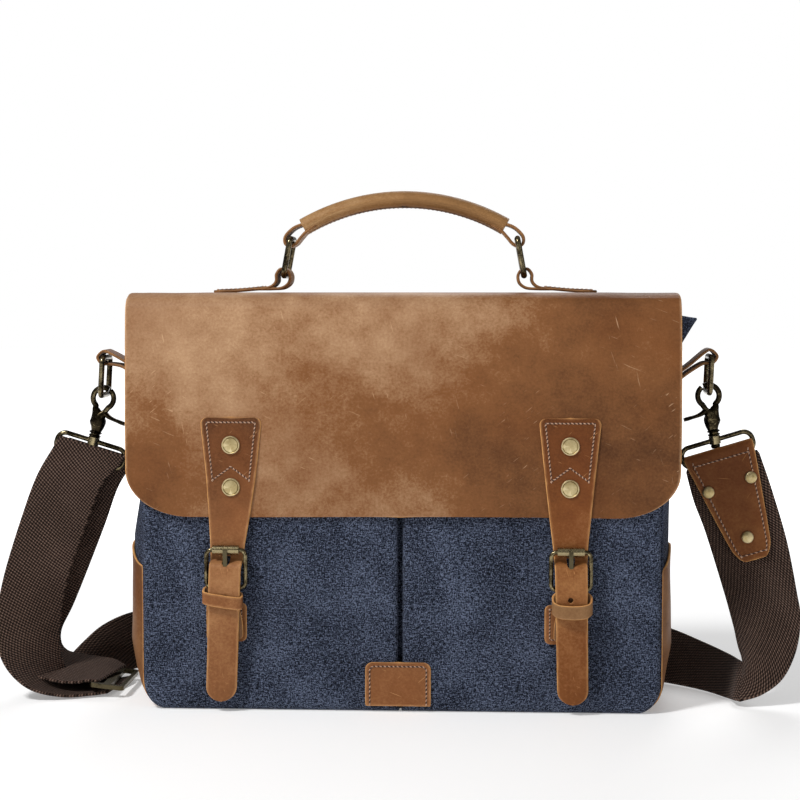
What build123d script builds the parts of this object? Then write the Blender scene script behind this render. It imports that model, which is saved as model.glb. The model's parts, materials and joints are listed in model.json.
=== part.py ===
# Messenger bag: a canvas body with a leather flap, two buckled closures held by hidden snaps,
# a top handle on rings and a webbing shoulder strap on two swivel snap hooks.
# Millimetres.  The origin is the centre of the underside, +Z is up and the front faces -Y.
from build123d import *
import math
import os

os.makedirs("parts", exist_ok=True)

# Body of the bag
BODY_HALF_W = 186.0
BODY_HALF_D = 50.0
BODY_TOP = 294.0
CORNER_R = 18.0
PANEL_T = 2.0
LEATHER_T = 1.8
SHELL_T = 3.0
LINING_T = 1.0
CORNER_X = BODY_HALF_W - CORNER_R
SIDE_LEATHER_TOP = 112.0

# Front pockets
POCKET_D = 12.0
POCKET_T = 1.6
POCKET_TOP = 195.0
POCKET_GAP_HALF = 1.5
POCKET_EDGE_X = 184.0
POCKET_FRONT_Y = -(BODY_HALF_D + POCKET_D)

# Flap
FLAP_T = 2.2
FLAP_HALF_W = 196.0
FLAP_TOP = 299.0
FLAP_BOTTOM = 140.0
FLAP_CORNER_W = 45.0
FLAP_CORNER_H = 32.0
FLAP_BACK_BOTTOM = 225.0
HINGE_Z = 292.0
FLAP_HANG_Y = POCKET_FRONT_Y - 0.5
FLAP_FRONT_Y = FLAP_HANG_Y - FLAP_T

# Closures
CLOSURE_X = 120.0
BUCKLE_X = {"left": -123.2, "right": 120.7}
STRAP_LEAN = {"left": (-1.3, -2.6, -3.2, -7.4), "right": (0.2, 0.5, 0.8, 2.6)}
STRAP_T = 2.0
STRAP_TOP = 210.5
STRAP_TIP = 8.0
RIVET_Z = (191.0, 161.0)
RIVET_R = 6.5
RIVET_SHANK_R = 1.5
BUCKLE_Y = -71.0
HEEL_Z = 90.0
TOP_BAR_Z = 116.8
BAR_R = 1.6
BUCKLE_HALF_W = 13.9
ROLLER_R = 3.4
ROLLER_LEN = 18.8
RUN_GAP = 0.06
SNAP_Z = 65.0
PATCH_T = 1.6
PATCH_FRONT_Y = POCKET_FRONT_Y - PATCH_T

# Handle
RING_WIRE_R = 2.1
HANDLE_RING_HALF_Y = 14.1
HANDLE_LOW = (88.0, 311.2)
HANDLE_HIGH = (83.0, 338.2)
GRIP_HALF_X = 74.0
GRIP_END_Z = 347.0
GRIP_RISE = 20.0
LOOP_GAP_R = 3.3
LOOP_R = 5.4
LOOP_HALF_Y = 11.0

# Shoulder strap hardware: boss, hook tilt from upright and side-ring bars for each side
HOOK_PIVOT = 14.5
HOOK_EYE = 33.0
HOOK_TILT = {"left": 14.0, "right": -8.7}
BOSS = {"left": (-232.7, 188.1), "right": (228.3, 190.7)}
RING_TOP = {"left": (-222.5, 250.5), "right": (224.0, 252.0)}
STRAP_RING_TILT = {"left": 17.0, "right": -17.0}
STRAP_RING_HALF = 26.6
STRAP_RING_DROP = 15.0
WEB_T = 2.2
SIDES = {"left": -1, "right": 1}


def save(part, name):
    """Label a finished piece and write it."""
    part.label = name
    export_step(part, f"parts/{name}.step")


def body_outline(inset, top):
    """The bag's front outline, drawn in from its outer face, as a flat sketch."""
    with BuildSketch() as outline:
        with Locations((0, (inset + top) / 2)):
            Rectangle(2 * (BODY_HALF_W - inset), top - inset)
        fillet(outline.vertices().group_by(Axis.Y)[0], CORNER_R - inset)
    return outline.sketch


def wire_loop(plane, width, height, corner, wire_r):
    """A closed round-cornered wire frame, centred on a plane."""
    with BuildSketch(plane) as outline:
        RectangleRounded(width, height, corner)
    path = outline.sketch.face().outer_wire()
    with BuildPart() as loop:
        with BuildSketch(Plane(origin=path @ 0, z_dir=path % 0)):
            Circle(wire_r)
        sweep(path=path)
    return loop.part


# ---- Panels and shell -------------------------------------------------------------------
def end_panel(outer_y):
    """One upright end panel, from outer_y inwards."""
    inward = -math.copysign(PANEL_T, outer_y)
    with BuildPart() as panel:
        with BuildSketch(Plane.XZ.offset(-outer_y)):
            add(body_outline(0, BODY_TOP))
        extrude(amount=-inward)
    return panel.part


save(end_panel(-BODY_HALF_D), "front_panel")
save(end_panel(BODY_HALF_D), "back_panel")

INNER_HALF_D = BODY_HALF_D - PANEL_T


def shell_strip(outer, inner, top, low_x, high_x):
    """A strip between two insets of the outline, kept between two X values."""
    with BuildPart() as strip:
        with BuildSketch(Plane.XZ):
            add(body_outline(outer, top))
            add(body_outline(inner, top + 1), mode=Mode.SUBTRACT)
            with Locations(((low_x + high_x) / 2, top / 2)):
                Rectangle(high_x - low_x, 2 * top, mode=Mode.INTERSECT)
        extrude(amount=INNER_HALF_D, both=True)
    return strip.part


for side, sign in SIDES.items():
    span = sorted((sign * CORNER_X, sign * (BODY_HALF_W + 1)))
    save(shell_strip(LEATHER_T, LEATHER_T + SHELL_T, BODY_TOP - 4, *span), f"gusset_{side}")
    save(shell_strip(0, LEATHER_T, SIDE_LEATHER_TOP, *span), f"side_leather_{side}")

save(shell_strip(0, LEATHER_T + SHELL_T, 40, -CORNER_X, CORNER_X), "bottom_panel")

LINING_INSET = LEATHER_T + SHELL_T
with BuildPart() as lining:
    with BuildSketch(Plane.XZ):
        add(body_outline(LINING_INSET, BODY_TOP - 14))
    extrude(amount=INNER_HALF_D, both=True)
    with BuildSketch(Plane.XZ):
        add(body_outline(LINING_INSET + LINING_T, BODY_TOP))
    extrude(amount=INNER_HALF_D - LINING_T, both=True, mode=Mode.SUBTRACT)
save(lining.part, "lining")

BOARD_T = 2.0
BOARD_Z = LINING_INSET + LINING_T
with BuildPart(Plane.XY.offset(BOARD_Z)) as base_board:
    Box(330, 92, BOARD_T, align=(Align.CENTER, Align.CENTER, Align.MIN))
    fillet(base_board.edges().filter_by(Axis.Z), 8)
save(base_board.part, "base_board")

DIVIDER_Y = 20.0
with BuildPart() as divider:
    with BuildSketch(Plane.XZ.offset(-DIVIDER_Y)):
        with Locations((0, BOARD_Z + BOARD_T + 112)):
            RectangleRounded(350, 224, 12)
    extrude(amount=3, both=True)
save(divider.part, "divider")


# ---- Front pockets, label and snap bases ----------------------------------------------------
def pocket_face(sign, inset, top):
    """A pocket's front outline: square beside its neighbour, round at the outer corner."""
    low = 2.0 + inset
    inner_x = POCKET_GAP_HALF + inset
    outer_x = POCKET_EDGE_X - inset
    with BuildSketch() as face:
        with Locations((sign * (inner_x + outer_x) / 2, (low + top) / 2)):
            Rectangle(outer_x - inner_x, top - low)
        corner = face.vertices().group_by(Axis.Y)[0].sort_by(Axis.X)
        fillet(corner[0] if sign < 0 else corner[-1], CORNER_R - 2 - inset)
    return face.sketch


for side, sign in SIDES.items():
    with BuildPart() as pocket:
        with BuildSketch(Plane.XZ.offset(BODY_HALF_D)):
            add(pocket_face(sign, 0, POCKET_TOP))
        extrude(amount=POCKET_D)
        with BuildSketch(Plane.XZ.offset(BODY_HALF_D)):
            add(pocket_face(sign, POCKET_T, POCKET_TOP + 5))
        extrude(amount=POCKET_D - POCKET_T, mode=Mode.SUBTRACT)
    save(pocket.part, f"pocket_{side}")

LABEL_CENTRE = (-1.4, 20.3)
with BuildPart() as label_patch:
    with BuildSketch(Plane.XZ.offset(-POCKET_FRONT_Y)) as label_face:
        with Locations(LABEL_CENTRE):
            Rectangle(46, 31)
        fillet(label_face.vertices().group_by(Axis.Y)[-1], 5)
    extrude(amount=1.5)
save(label_patch.part, "label_patch")

PATCH_X = {"left": -124.0, "right": 117.0}
PATCH_W = 28.0
PATCH_LOW = 50.0
PATCH_HIGH = 78.0
SOCKET_R = 7.0
SOCKET_T = 1.8
for side in SIDES:
    with BuildPart() as snap_base:
        with BuildSketch(Plane.XZ.offset(-POCKET_FRONT_Y)):
            with Locations((PATCH_X[side], (PATCH_LOW + PATCH_HIGH) / 2)):
                RectangleRounded(PATCH_W, PATCH_HIGH - PATCH_LOW, 4)
        extrude(amount=PATCH_T)
    save(snap_base.part, f"snap_base_{side}")

SNAP_HOLE_R = 3.0
SNAP_POINTS = [(x, SNAP_Z) for x in BUCKLE_X.values()]
with BuildPart() as snap_sockets:
    with BuildSketch(Plane.XZ.offset(-PATCH_FRONT_Y)):
        with Locations(*SNAP_POINTS):
            Circle(SOCKET_R)
    extrude(amount=SOCKET_T)
    with BuildSketch(Plane.XZ.offset(-PATCH_FRONT_Y + 0.3)):
        with Locations(*SNAP_POINTS):
            Circle(SNAP_HOLE_R)
    extrude(amount=SOCKET_T, mode=Mode.SUBTRACT)
save(snap_sockets.part, "snap_sockets")

STUD_BACK_Y = PATCH_FRONT_Y - SOCKET_T - 0.3
STUD_T = 1.2
with BuildPart() as snap_studs:
    with BuildSketch(Plane.XZ.offset(-STUD_BACK_Y)):
        with Locations(*SNAP_POINTS):
            Circle(SOCKET_R)
    extrude(amount=STUD_T)
    with BuildSketch(Plane.XZ.offset(-STUD_BACK_Y)):
        with Locations(*SNAP_POINTS):
            Circle(SNAP_HOLE_R - 0.5)
    extrude(amount=-1.2)
save(snap_studs.part, "snap_studs")

# ---- Flap ---------------------------------------------------------------------------------
with BuildPart() as flap_back:
    with BuildSketch(Plane.XZ.offset(-BODY_HALF_D)):
        with Locations((0, (FLAP_BACK_BOTTOM + HINGE_Z - 4) / 2)):
            Rectangle(2 * FLAP_HALF_W, HINGE_Z - 4 - FLAP_BACK_BOTTOM)
    extrude(amount=-FLAP_T)
save(flap_back.part, "flap_back")

with BuildPart() as flap_top:
    with Locations((0, -1, FLAP_TOP)):
        Box(2 * FLAP_HALF_W, 90, FLAP_T, align=(Align.CENTER, Align.CENTER, Align.MAX))
save(flap_top.part, "flap_top")


def flap_face():
    """The hanging flap seen from the front: straight sides and wide elliptical corners."""
    corner_z = FLAP_BOTTOM + FLAP_CORNER_H
    corner_x = FLAP_HALF_W - FLAP_CORNER_W
    with BuildSketch() as face:
        with Locations((0, (corner_z + HINGE_Z) / 2)):
            Rectangle(2 * FLAP_HALF_W, HINGE_Z - corner_z)
        with Locations((0, FLAP_BOTTOM + FLAP_CORNER_H / 2)):
            Rectangle(2 * corner_x, FLAP_CORNER_H)
        with Locations((-corner_x, corner_z), (corner_x, corner_z)):
            Ellipse(FLAP_CORNER_W, FLAP_CORNER_H)
    return face.sketch


FLAP_BREAK_Z = 203.0
with BuildPart() as flap_front:
    with BuildSketch(Plane.YZ):
        with BuildLine():
            top_y = -(BODY_HALF_D + 2.5)
            Polyline(
                (top_y, HINGE_Z - 4),
                (FLAP_HANG_Y, FLAP_BREAK_Z),
                (FLAP_HANG_Y, FLAP_BOTTOM),
                (FLAP_FRONT_Y, FLAP_BOTTOM),
                (FLAP_FRONT_Y, FLAP_BREAK_Z),
                (top_y - FLAP_T, HINGE_Z - 4),
                close=True,
            )
        make_face()
    extrude(amount=FLAP_HALF_W, both=True)
    with BuildSketch(Plane.XZ.offset(BODY_HALF_D - 10)):
        add(flap_face())
    extrude(amount=60, mode=Mode.INTERSECT)
    with BuildSketch(Plane.XZ.offset(BODY_HALF_D)):
        with Locations(*[(s * CLOSURE_X, z) for s in (-1, 1) for z in RIVET_Z]):
            Circle(RIVET_SHANK_R + 0.1)
    extrude(amount=30, mode=Mode.SUBTRACT)
save(flap_front.part, "flap_front")

# ---- Closure straps, buckles, keepers and snaps ----------------------------------------------
STRAP_LAY_Y = FLAP_FRONT_Y - STRAP_T / 2 - 0.05
CROSS_Y = BUCKLE_Y - 4.6
STRAP_ROUTE = [
    (STRAP_LAY_Y, STRAP_TOP),
    (STRAP_LAY_Y, 141.0),
    (STRAP_LAY_Y - 0.1, 126.0),
    (STRAP_LAY_Y - 0.5, 111.5),
    (CROSS_Y + 0.4, 104.0),
    (CROSS_Y, 100.0),
    (CROSS_Y, 87.0),
    (CROSS_Y + 1.0, 76.0),
    (BUCKLE_Y - 0.6, 55.0),
    (BUCKLE_Y + 0.3, STRAP_TIP),
]
SLOT_Z = 101.0
SLOT_LEN = 18.0
SLOT_W = 4.0
HOLE_Z = 83.5
HOLE_R = 2.0


def strap_face(side):
    """The closure strap from the front: a wide riveted head narrowing to a leaning round tip."""
    top_x = SIDES[side] * CLOSURE_X
    hem_x, neck_x, buckle_x, tip_x = [top_x + lean for lean in STRAP_LEAN[side]]
    with BuildSketch() as face:
        with BuildLine():
            Polyline(
                (top_x - 21.5, STRAP_TOP),
                (hem_x - 14.0, 141.0),
                (neck_x - 11.6, 120.0),
                (buckle_x - 10.5, 105.0),
                (tip_x - 10.2, STRAP_TIP),
                (tip_x + 10.2, STRAP_TIP),
                (buckle_x + 10.5, 105.0),
                (neck_x + 11.6, 120.0),
                (hem_x + 14.0, 141.0),
                (top_x + 21.5, STRAP_TOP),
                close=True,
            )
        make_face()
        fillet(face.vertices().group_by(Axis.Y)[-1], 5)
        fillet(face.vertices().group_by(Axis.Y)[0], 9.6)
    return face.sketch


def closure_strap(side):
    """The strap bent over the buckle: its side profile cut by its front outline."""
    front = [(y - STRAP_T / 2, z) for y, z in STRAP_ROUTE]
    rear = [(y + STRAP_T / 2, z) for y, z in reversed(STRAP_ROUTE)]
    x = SIDES[side] * CLOSURE_X
    front_plane = Plane((0, -BODY_HALF_D, 0), x_dir=(1, 0, 0), z_dir=(0, -1, 0))
    with BuildPart() as strap:
        with BuildSketch(Plane.YZ.offset(x)):
            with BuildLine():
                Polyline(*front, *rear, close=True)
            make_face()
        extrude(amount=25, both=True)
        with BuildSketch(front_plane):
            add(strap_face(side))
        extrude(amount=40, mode=Mode.INTERSECT)
        with BuildSketch(front_plane):
            with Locations(*[(x, z) for z in RIVET_Z]):
                Circle(RIVET_SHANK_R + 0.1)
            with Locations((BUCKLE_X[side], SLOT_Z)):
                SlotOverall(SLOT_LEN, SLOT_W, rotation=90)
            with Locations((BUCKLE_X[side] - 0.3, HOLE_Z)):
                Circle(HOLE_R)
        extrude(amount=40, mode=Mode.SUBTRACT)
    return strap.part


def buckle_frame(x):
    """A round-cornered wire frame standing upright in front of the pocket."""
    centre = (x, BUCKLE_Y, (HEEL_Z + TOP_BAR_Z) / 2)
    plane = Plane(centre, x_dir=(1, 0, 0), z_dir=(0, -1, 0))
    return wire_loop(plane, 2 * BUCKLE_HALF_W, TOP_BAR_Z - HEEL_Z, 4.2, BAR_R)


def roller(x):
    """The free tube on the buckle's top bar."""
    with BuildPart() as tube:
        with BuildSketch(Plane.YZ.offset(x)):
            with Locations((BUCKLE_Y, TOP_BAR_Z)):
                Circle(ROLLER_R)
                Circle(BAR_R + RUN_GAP, mode=Mode.SUBTRACT)
        extrude(amount=ROLLER_LEN / 2, both=True)
    return tube.part


PRONG_R = 1.1
PRONG_TIP = (BUCKLE_Y - ROLLER_R - PRONG_R - 0.35, TOP_BAR_Z + 0.4)
PRONG_HALF_W = 1.5


def prong(x):
    """A tapered tongue whose eye turns on the heel bar and whose tip lies on the roller."""
    with BuildPart() as tongue:
        with BuildSketch(Plane.YZ.offset(x)):
            with Locations((BUCKLE_Y, HEEL_Z)):
                Circle(2.8)
            with BuildLine():
                Polyline(
                    (BUCKLE_Y - 2.7, HEEL_Z),
                    (PRONG_TIP[0] - 0.7, PRONG_TIP[1]),
                    (PRONG_TIP[0] + 0.8, PRONG_TIP[1]),
                    (BUCKLE_Y - 0.1, HEEL_Z + 2.5),
                    close=True,
                )
            make_face()
            with Locations((BUCKLE_Y, HEEL_Z)):
                Circle(BAR_R + RUN_GAP, mode=Mode.SUBTRACT)
        extrude(amount=PRONG_HALF_W, both=True)
    return tongue.part


CHAPE_T = 1.4
CHAPE_BACK_Y = STUD_BACK_Y - STUD_T
CHAPE_HALF_W = 8.5


def chape(x):
    """The leather loop that holds the heel bar and carries the snap, slotted for the prong."""
    outer_r = BAR_R + 0.2 + CHAPE_T
    with BuildPart() as loop:
        with BuildSketch(Plane.YZ.offset(x)):
            with Locations((BUCKLE_Y, HEEL_Z)):
                Circle(outer_r)
            with BuildLine():
                Polyline(
                    (CHAPE_BACK_Y, 54.0),
                    (CHAPE_BACK_Y, HEEL_Z),
                    (BUCKLE_Y, HEEL_Z),
                    (CHAPE_BACK_Y - 2 * CHAPE_T, 84.0),
                    (CHAPE_BACK_Y - 2 * CHAPE_T, 54.0),
                    close=True,
                )
            make_face()
            with Locations((BUCKLE_Y, HEEL_Z)):
                Circle(BAR_R + 0.2, mode=Mode.SUBTRACT)
        extrude(amount=CHAPE_HALF_W, both=True)
        with Locations((x, BUCKLE_Y, HEEL_Z + 1.0)):
            Box(4.4, 12, 9, mode=Mode.SUBTRACT)
    return loop.part


KEEPER_Z = (76.5, 86.5)
KEEPER_HALF_W = 14.7
KEEPER_FRONT_Y = CROSS_Y - 3.2


def keeper(x):
    """The leather loop round the strap and the chape."""
    rear_y = CHAPE_BACK_Y + 1.7
    depth = rear_y - KEEPER_FRONT_Y
    with BuildPart() as loop:
        with BuildSketch(Plane.XY.offset(KEEPER_Z[0])):
            with Locations((x, (rear_y + KEEPER_FRONT_Y) / 2)):
                RectangleRounded(2 * KEEPER_HALF_W, depth, 4)
                RectangleRounded(2 * KEEPER_HALF_W - 3, depth - 3, 2.6, mode=Mode.SUBTRACT)
        extrude(amount=KEEPER_Z[1] - KEEPER_Z[0])
    return loop.part


for side in SIDES:
    centre_x = BUCKLE_X[side]
    save(closure_strap(side), f"closure_strap_{side}")
    save(buckle_frame(centre_x), f"buckle_frame_{side}")
    save(roller(centre_x), f"buckle_roller_{side}")
    save(prong(centre_x), f"buckle_prong_{side}")
    save(chape(centre_x), f"buckle_chape_{side}")
    save(keeper(centre_x), f"strap_keeper_{side}")

RIVET_SEAT_Y = STRAP_LAY_Y - STRAP_T / 2
RIVET_BACK_Y = FLAP_HANG_Y + 0.4
with BuildPart() as flap_rivets:
    for x in (-CLOSURE_X, CLOSURE_X):
        for z in RIVET_Z:
            back_y = RIVET_BACK_Y if z < FLAP_BREAK_Z else FLAP_HANG_Y
            with BuildSketch(Plane((x, 0, z), x_dir=(0, -1, 0), z_dir=(1, 0, 0))) as half:
                with BuildLine():
                    Polyline((-back_y, 0), (-RIVET_SEAT_Y, 0), (-RIVET_SEAT_Y + 1.6, 0))
                    Line((-RIVET_SEAT_Y + 1.6, 0), (-RIVET_SEAT_Y + 1.4, -4.8))
                    Line((-RIVET_SEAT_Y + 1.4, -4.8), (-RIVET_SEAT_Y, -RIVET_R))
                    Line((-RIVET_SEAT_Y, -RIVET_R), (-RIVET_SEAT_Y, -RIVET_SHANK_R))
                    Line((-RIVET_SEAT_Y, -RIVET_SHANK_R), (-back_y, -RIVET_SHANK_R))
                    Line((-back_y, -RIVET_SHANK_R), (-back_y, 0))
                make_face()
            revolve(axis=Axis((x, 0, z), (0, 1, 0)))
save(flap_rivets.part, "flap_rivets")


# ---- Handle ---------------------------------------------------------------------------------
def wire_ring(low, high, half_y, corner):
    """A rectangular wire ring whose bars run along Y, through two (x, z) points."""
    rise = Vector(high[0] - low[0], 0, high[1] - low[1])
    centre = ((low[0] + high[0]) / 2, 0, (low[1] + high[1]) / 2)
    plane = Plane(centre, x_dir=(0, 1, 0), z_dir=Vector(0, 1, 0).cross(rise))
    return wire_loop(plane, 2 * half_y, rise.length, corner, RING_WIRE_R)


def leather_loop(centre, gap, outer, tail, half_y):
    """Leather round a bar along Y: a ring of leather with a tail polygon, in the XZ plane."""
    with BuildPart() as loop:
        with BuildSketch(Plane.XZ):
            with BuildLine():
                Polyline(*tail, close=True)
            make_face()
            with Locations(centre):
                Circle(outer)
                Circle(gap, mode=Mode.SUBTRACT)
        extrude(amount=half_y, both=True)
    return loop.part


TAB_TOP = FLAP_TOP + 2.2
for side, sign in SIDES.items():
    low = (sign * HANDLE_LOW[0], HANDLE_LOW[1])
    high = (sign * HANDLE_HIGH[0], HANDLE_HIGH[1])
    save(wire_ring(low, high, HANDLE_RING_HALF_Y, 4), f"handle_ring_{side}")
    tab_tail = [
        (sign * 82.0, FLAP_TOP),
        (sign * 83.0, HANDLE_LOW[1]),
        (sign * 93.0, HANDLE_LOW[1]),
        (sign * 98.0, TAB_TOP),
        (sign * 141.0, TAB_TOP),
        (sign * 141.0, FLAP_TOP),
    ]
    save(leather_loop(low, LOOP_GAP_R, LOOP_R, tab_tail, LOOP_HALF_Y), f"handle_tab_{side}")

with BuildPart() as handle_loops:
    for sign in SIDES.values():
        centre = (sign * HANDLE_HIGH[0], HANDLE_HIGH[1])
        with BuildSketch(Plane.XZ):
            with BuildLine():
                Polyline(
                    (centre[0] + sign * 3, centre[1] + 4.4),
                    (sign * 75.0, GRIP_END_Z + 3.5),
                    (sign * 73.5, GRIP_END_Z - 4.5),
                    (centre[0] - sign * 5, centre[1]),
                    close=True,
                )
            make_face()
            with Locations(centre):
                Circle(LOOP_R)
                Circle(LOOP_GAP_R, mode=Mode.SUBTRACT)
        extrude(amount=LOOP_HALF_Y, both=True)
save(handle_loops.part, "handle_loops")


def grip_solid(half_y, half_z, trim):
    """An elliptical bar along the handle's arc; trim shortens it at both ends."""
    radius = (GRIP_HALF_X**2 + GRIP_RISE**2) / (2 * GRIP_RISE)
    centre_z = GRIP_END_Z + GRIP_RISE - radius
    half_angle = math.degrees(math.asin(GRIP_HALF_X / radius)) - trim
    with BuildPart() as bar:
        with BuildLine(Plane.XZ) as path:
            CenterArc((0, centre_z), radius, 90 - half_angle, 2 * half_angle)
        with BuildSketch(Plane(origin=path.wire() @ 0, x_dir=(0, 1, 0), z_dir=path.wire() % 0)):
            Ellipse(half_y, half_z)
        sweep()
    return bar.part


GRIP_HALF_Y = 10.0
GRIP_HALF_Z = 6.6
CORE_HALF_Y = 7.5
CORE_HALF_Z = 4.6
handle_core = grip_solid(CORE_HALF_Y, CORE_HALF_Z, 2.5)
save(handle_core, "handle_core")
save(grip_solid(GRIP_HALF_Y, GRIP_HALF_Z, 0.8) - handle_core, "handle_grip")

# ---- Side tabs, rings, snap hooks and strap rings -----------------------------------------------
TAB_ROOT_X = BODY_HALF_W - LEATHER_T


def hook_point(side, along, across=0.0):
    """A point on the hook's own axis (and off it) as (x, z)."""
    tilt = math.radians(HOOK_TILT[side])
    x0, z0 = BOSS[side]
    x = x0 + along * math.sin(tilt) + across * math.cos(tilt)
    z = z0 + along * math.cos(tilt) - across * math.sin(tilt)
    return (x, z)


def hook_plane(side, along=0.0):
    """A plane square to the hook's axis at a distance above the boss."""
    tilt = math.radians(HOOK_TILT[side])
    x, z = hook_point(side, along)
    return Plane((x, 0, z), x_dir=(0, 1, 0), z_dir=(math.sin(tilt), 0, math.cos(tilt)))


EYE_GAP_R = 5.8
RING_BAR_LIFT = 2.6
EYE_R = 9.6
HOOK_HALF_Y = 2.2
LEVER_HALF_Y = 1.1


def hook_face(side, radius_in, radius_out):
    """The hook's flat outline: an open eye with its gate side cut away, and a shank."""
    inward = -SIDES[side]
    with BuildSketch(Plane.XZ) as face:
        with Locations(hook_point(side, HOOK_EYE)):
            Circle(radius_out)
        with BuildLine():
            Polyline(
                hook_point(side, HOOK_EYE, -7.0),
                hook_point(side, 8.0, -4.2),
                hook_point(side, 8.0, 4.2),
                hook_point(side, HOOK_EYE, 7.0),
                close=True,
            )
        make_face()
        with Locations(hook_point(side, HOOK_EYE)):
            Circle(radius_in, mode=Mode.SUBTRACT)
        with BuildLine():
            Polyline(
                hook_point(side, HOOK_EYE + 5.5, inward * 3.0),
                hook_point(side, HOOK_EYE + 4.0, inward * 12.0),
                hook_point(side, HOOK_EYE - 12.0, inward * 12.0),
                hook_point(side, HOOK_EYE - 9.0, inward * 2.2),
                close=True,
            )
        make_face(mode=Mode.SUBTRACT)
    return face.sketch


def snap_hook(side):
    """The hook body: eye and cheeks with a slot for the lever, and a stem into the boss."""
    with BuildPart() as hook:
        with BuildSketch(Plane.XZ):
            add(hook_face(side, EYE_GAP_R, EYE_R))
        extrude(amount=HOOK_HALF_Y, both=True)
        with BuildSketch(hook_plane(side, 3.2)):
            Circle(3.4)
        extrude(amount=5.4)
        with BuildSketch(hook_plane(side, -4.6)):
            Circle(1.5)
        extrude(amount=9)
        with BuildSketch(hook_plane(side, -5.6)):
            Circle(2.6)
        extrude(amount=2.1)
        inward = -SIDES[side]
        with BuildSketch(Plane.XZ):
            with BuildLine():
                Polyline(
                    hook_point(side, HOOK_EYE - 5.0, -inward * 1.0),
                    hook_point(side, HOOK_EYE - 5.0, inward * 16.0),
                    hook_point(side, 9.5, inward * 16.0),
                    hook_point(side, 9.5, -inward * 6.0),
                    hook_point(side, HOOK_PIVOT + 5.0, -inward * 6.0),
                    close=True,
                )
            make_face()
        extrude(amount=LEVER_HALF_Y + 0.3, both=True, mode=Mode.SUBTRACT)
        px, pz = hook_point(side, HOOK_PIVOT)
        with BuildSketch(Plane.XZ):
            with Locations((px, pz)):
                Circle(1.5)
        extrude(amount=6, both=True, mode=Mode.SUBTRACT)
    return hook.part


def lever(side):
    """The gate lever: a closing arm beside the eye and a thumb tail towards the bag."""
    inward = -SIDES[side]
    with BuildPart() as gate:
        with BuildSketch(Plane.XZ):
            with Locations(hook_point(side, HOOK_PIVOT)):
                Circle(3.6)
            with BuildLine():
                Polyline(
                    hook_point(side, HOOK_PIVOT - 2.0, inward * 2.0),
                    hook_point(side, HOOK_PIVOT - 2.5, inward * 19.0),
                    hook_point(side, HOOK_PIVOT - 0.4, inward * 19.0),
                    hook_point(side, HOOK_PIVOT + 3.0, inward * 5.5),
                    hook_point(side, HOOK_EYE - 7.0, inward * 6.6),
                    hook_point(side, HOOK_EYE + 1.0, inward * 9.2),
                    hook_point(side, HOOK_EYE + 3.4, inward * 8.6),
                    hook_point(side, HOOK_EYE + 1.0, inward * 6.4),
                    hook_point(side, HOOK_EYE - 5.6, inward * 3.4),
                    hook_point(side, HOOK_PIVOT + 3.4, 0.0),
                    hook_point(side, HOOK_PIVOT, -inward * 2.0),
                    close=True,
                )
            make_face()
            with Locations(hook_point(side, HOOK_PIVOT)):
                Circle(1.5, mode=Mode.SUBTRACT)
        extrude(amount=LEVER_HALF_Y, both=True)
    return gate.part


def lever_pivot(side):
    """The rivet that the lever turns on, with a domed head each side of the hook."""
    centre = hook_point(side, HOOK_PIVOT)
    with BuildPart() as pin:
        with BuildSketch(Plane.XZ):
            with Locations(centre):
                Circle(1.44)
        extrude(amount=HOOK_HALF_Y + 0.4, both=True)
        for outward in (1, -1):
            with BuildSketch(Plane.XZ.offset(outward * (HOOK_HALF_Y + 0.05))):
                with Locations(centre):
                    Circle(3.2)
            extrude(amount=outward * 0.9)
    return pin.part


STRAP_WIRE_R = 1.8


def strap_ring(side):
    """The flat oblong wire ring for the webbing, with the swivel boss on its upper bar."""
    x0, z0 = BOSS[side]
    tilt = math.radians(STRAP_RING_TILT[side])
    along = Vector(math.cos(tilt), 0, -math.sin(tilt))
    down = Vector(-math.sin(tilt), 0, -math.cos(tilt))
    centre = Vector(x0, 0, z0) + down * (STRAP_RING_DROP / 2)
    plane = Plane(centre, x_dir=along, z_dir=(0, -1, 0))
    with BuildPart() as ring:
        add(wire_loop(plane, 2 * STRAP_RING_HALF, STRAP_RING_DROP, 6.5, STRAP_WIRE_R))
        with BuildSketch(hook_plane(side, -2.9)):
            Circle(4.2)
        extrude(amount=5.8)
        with BuildSketch(hook_plane(side, -6)):
            Circle(1.56)
        extrude(amount=12, mode=Mode.SUBTRACT)
    return ring.part


for side, sign in SIDES.items():
    eye = hook_point(side, HOOK_EYE + RING_BAR_LIFT)
    save(wire_ring(eye, RING_TOP[side], 14.0, 4), f"side_ring_{side}")
    ring_x, ring_z = RING_TOP[side]
    side_tail = [
        (ring_x - sign * 4.5, ring_z + 3.0),
        (sign * (TAB_ROOT_X + 2.4), 240.0),
        (sign * (TAB_ROOT_X + 2.4), 206.0),
        (sign * TAB_ROOT_X, 206.0),
        (sign * TAB_ROOT_X, 236.0),
        (ring_x - sign * 4.5, ring_z - 4.0),
    ]
    tab = leather_loop((ring_x, ring_z), LOOP_GAP_R, LOOP_R, side_tail, LOOP_HALF_Y)
    save(tab, f"side_tab_{side}")
    save(snap_hook(side), f"snap_hook_{side}")
    save(lever(side), f"hook_lever_{side}")
    save(lever_pivot(side), f"lever_pivot_{side}")
    save(strap_ring(side), f"strap_ring_{side}")


# ---- Shoulder strap ---------------------------------------------------------------------------
def ribbon(sections, thickness):
    """Webbing through cross-sections, each given by its two edge points."""
    centres = [(Vector(*a) + Vector(*b)) * 0.5 for a, b in sections]
    last = len(sections) - 1
    with BuildPart() as band:
        for index, (edge_a, edge_b) in enumerate(sections):
            width = Vector(*edge_b) - Vector(*edge_a)
            ahead = centres[min(index + 1, last)] - centres[max(index - 1, 0)]
            across = width.normalized()
            along = (ahead - across * ahead.dot(across)).normalized()
            with BuildSketch(Plane(centres[index], x_dir=across, z_dir=along)):
                Rectangle(width.length, thickness)
        loft(ruled=True)
    return band.part


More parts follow.
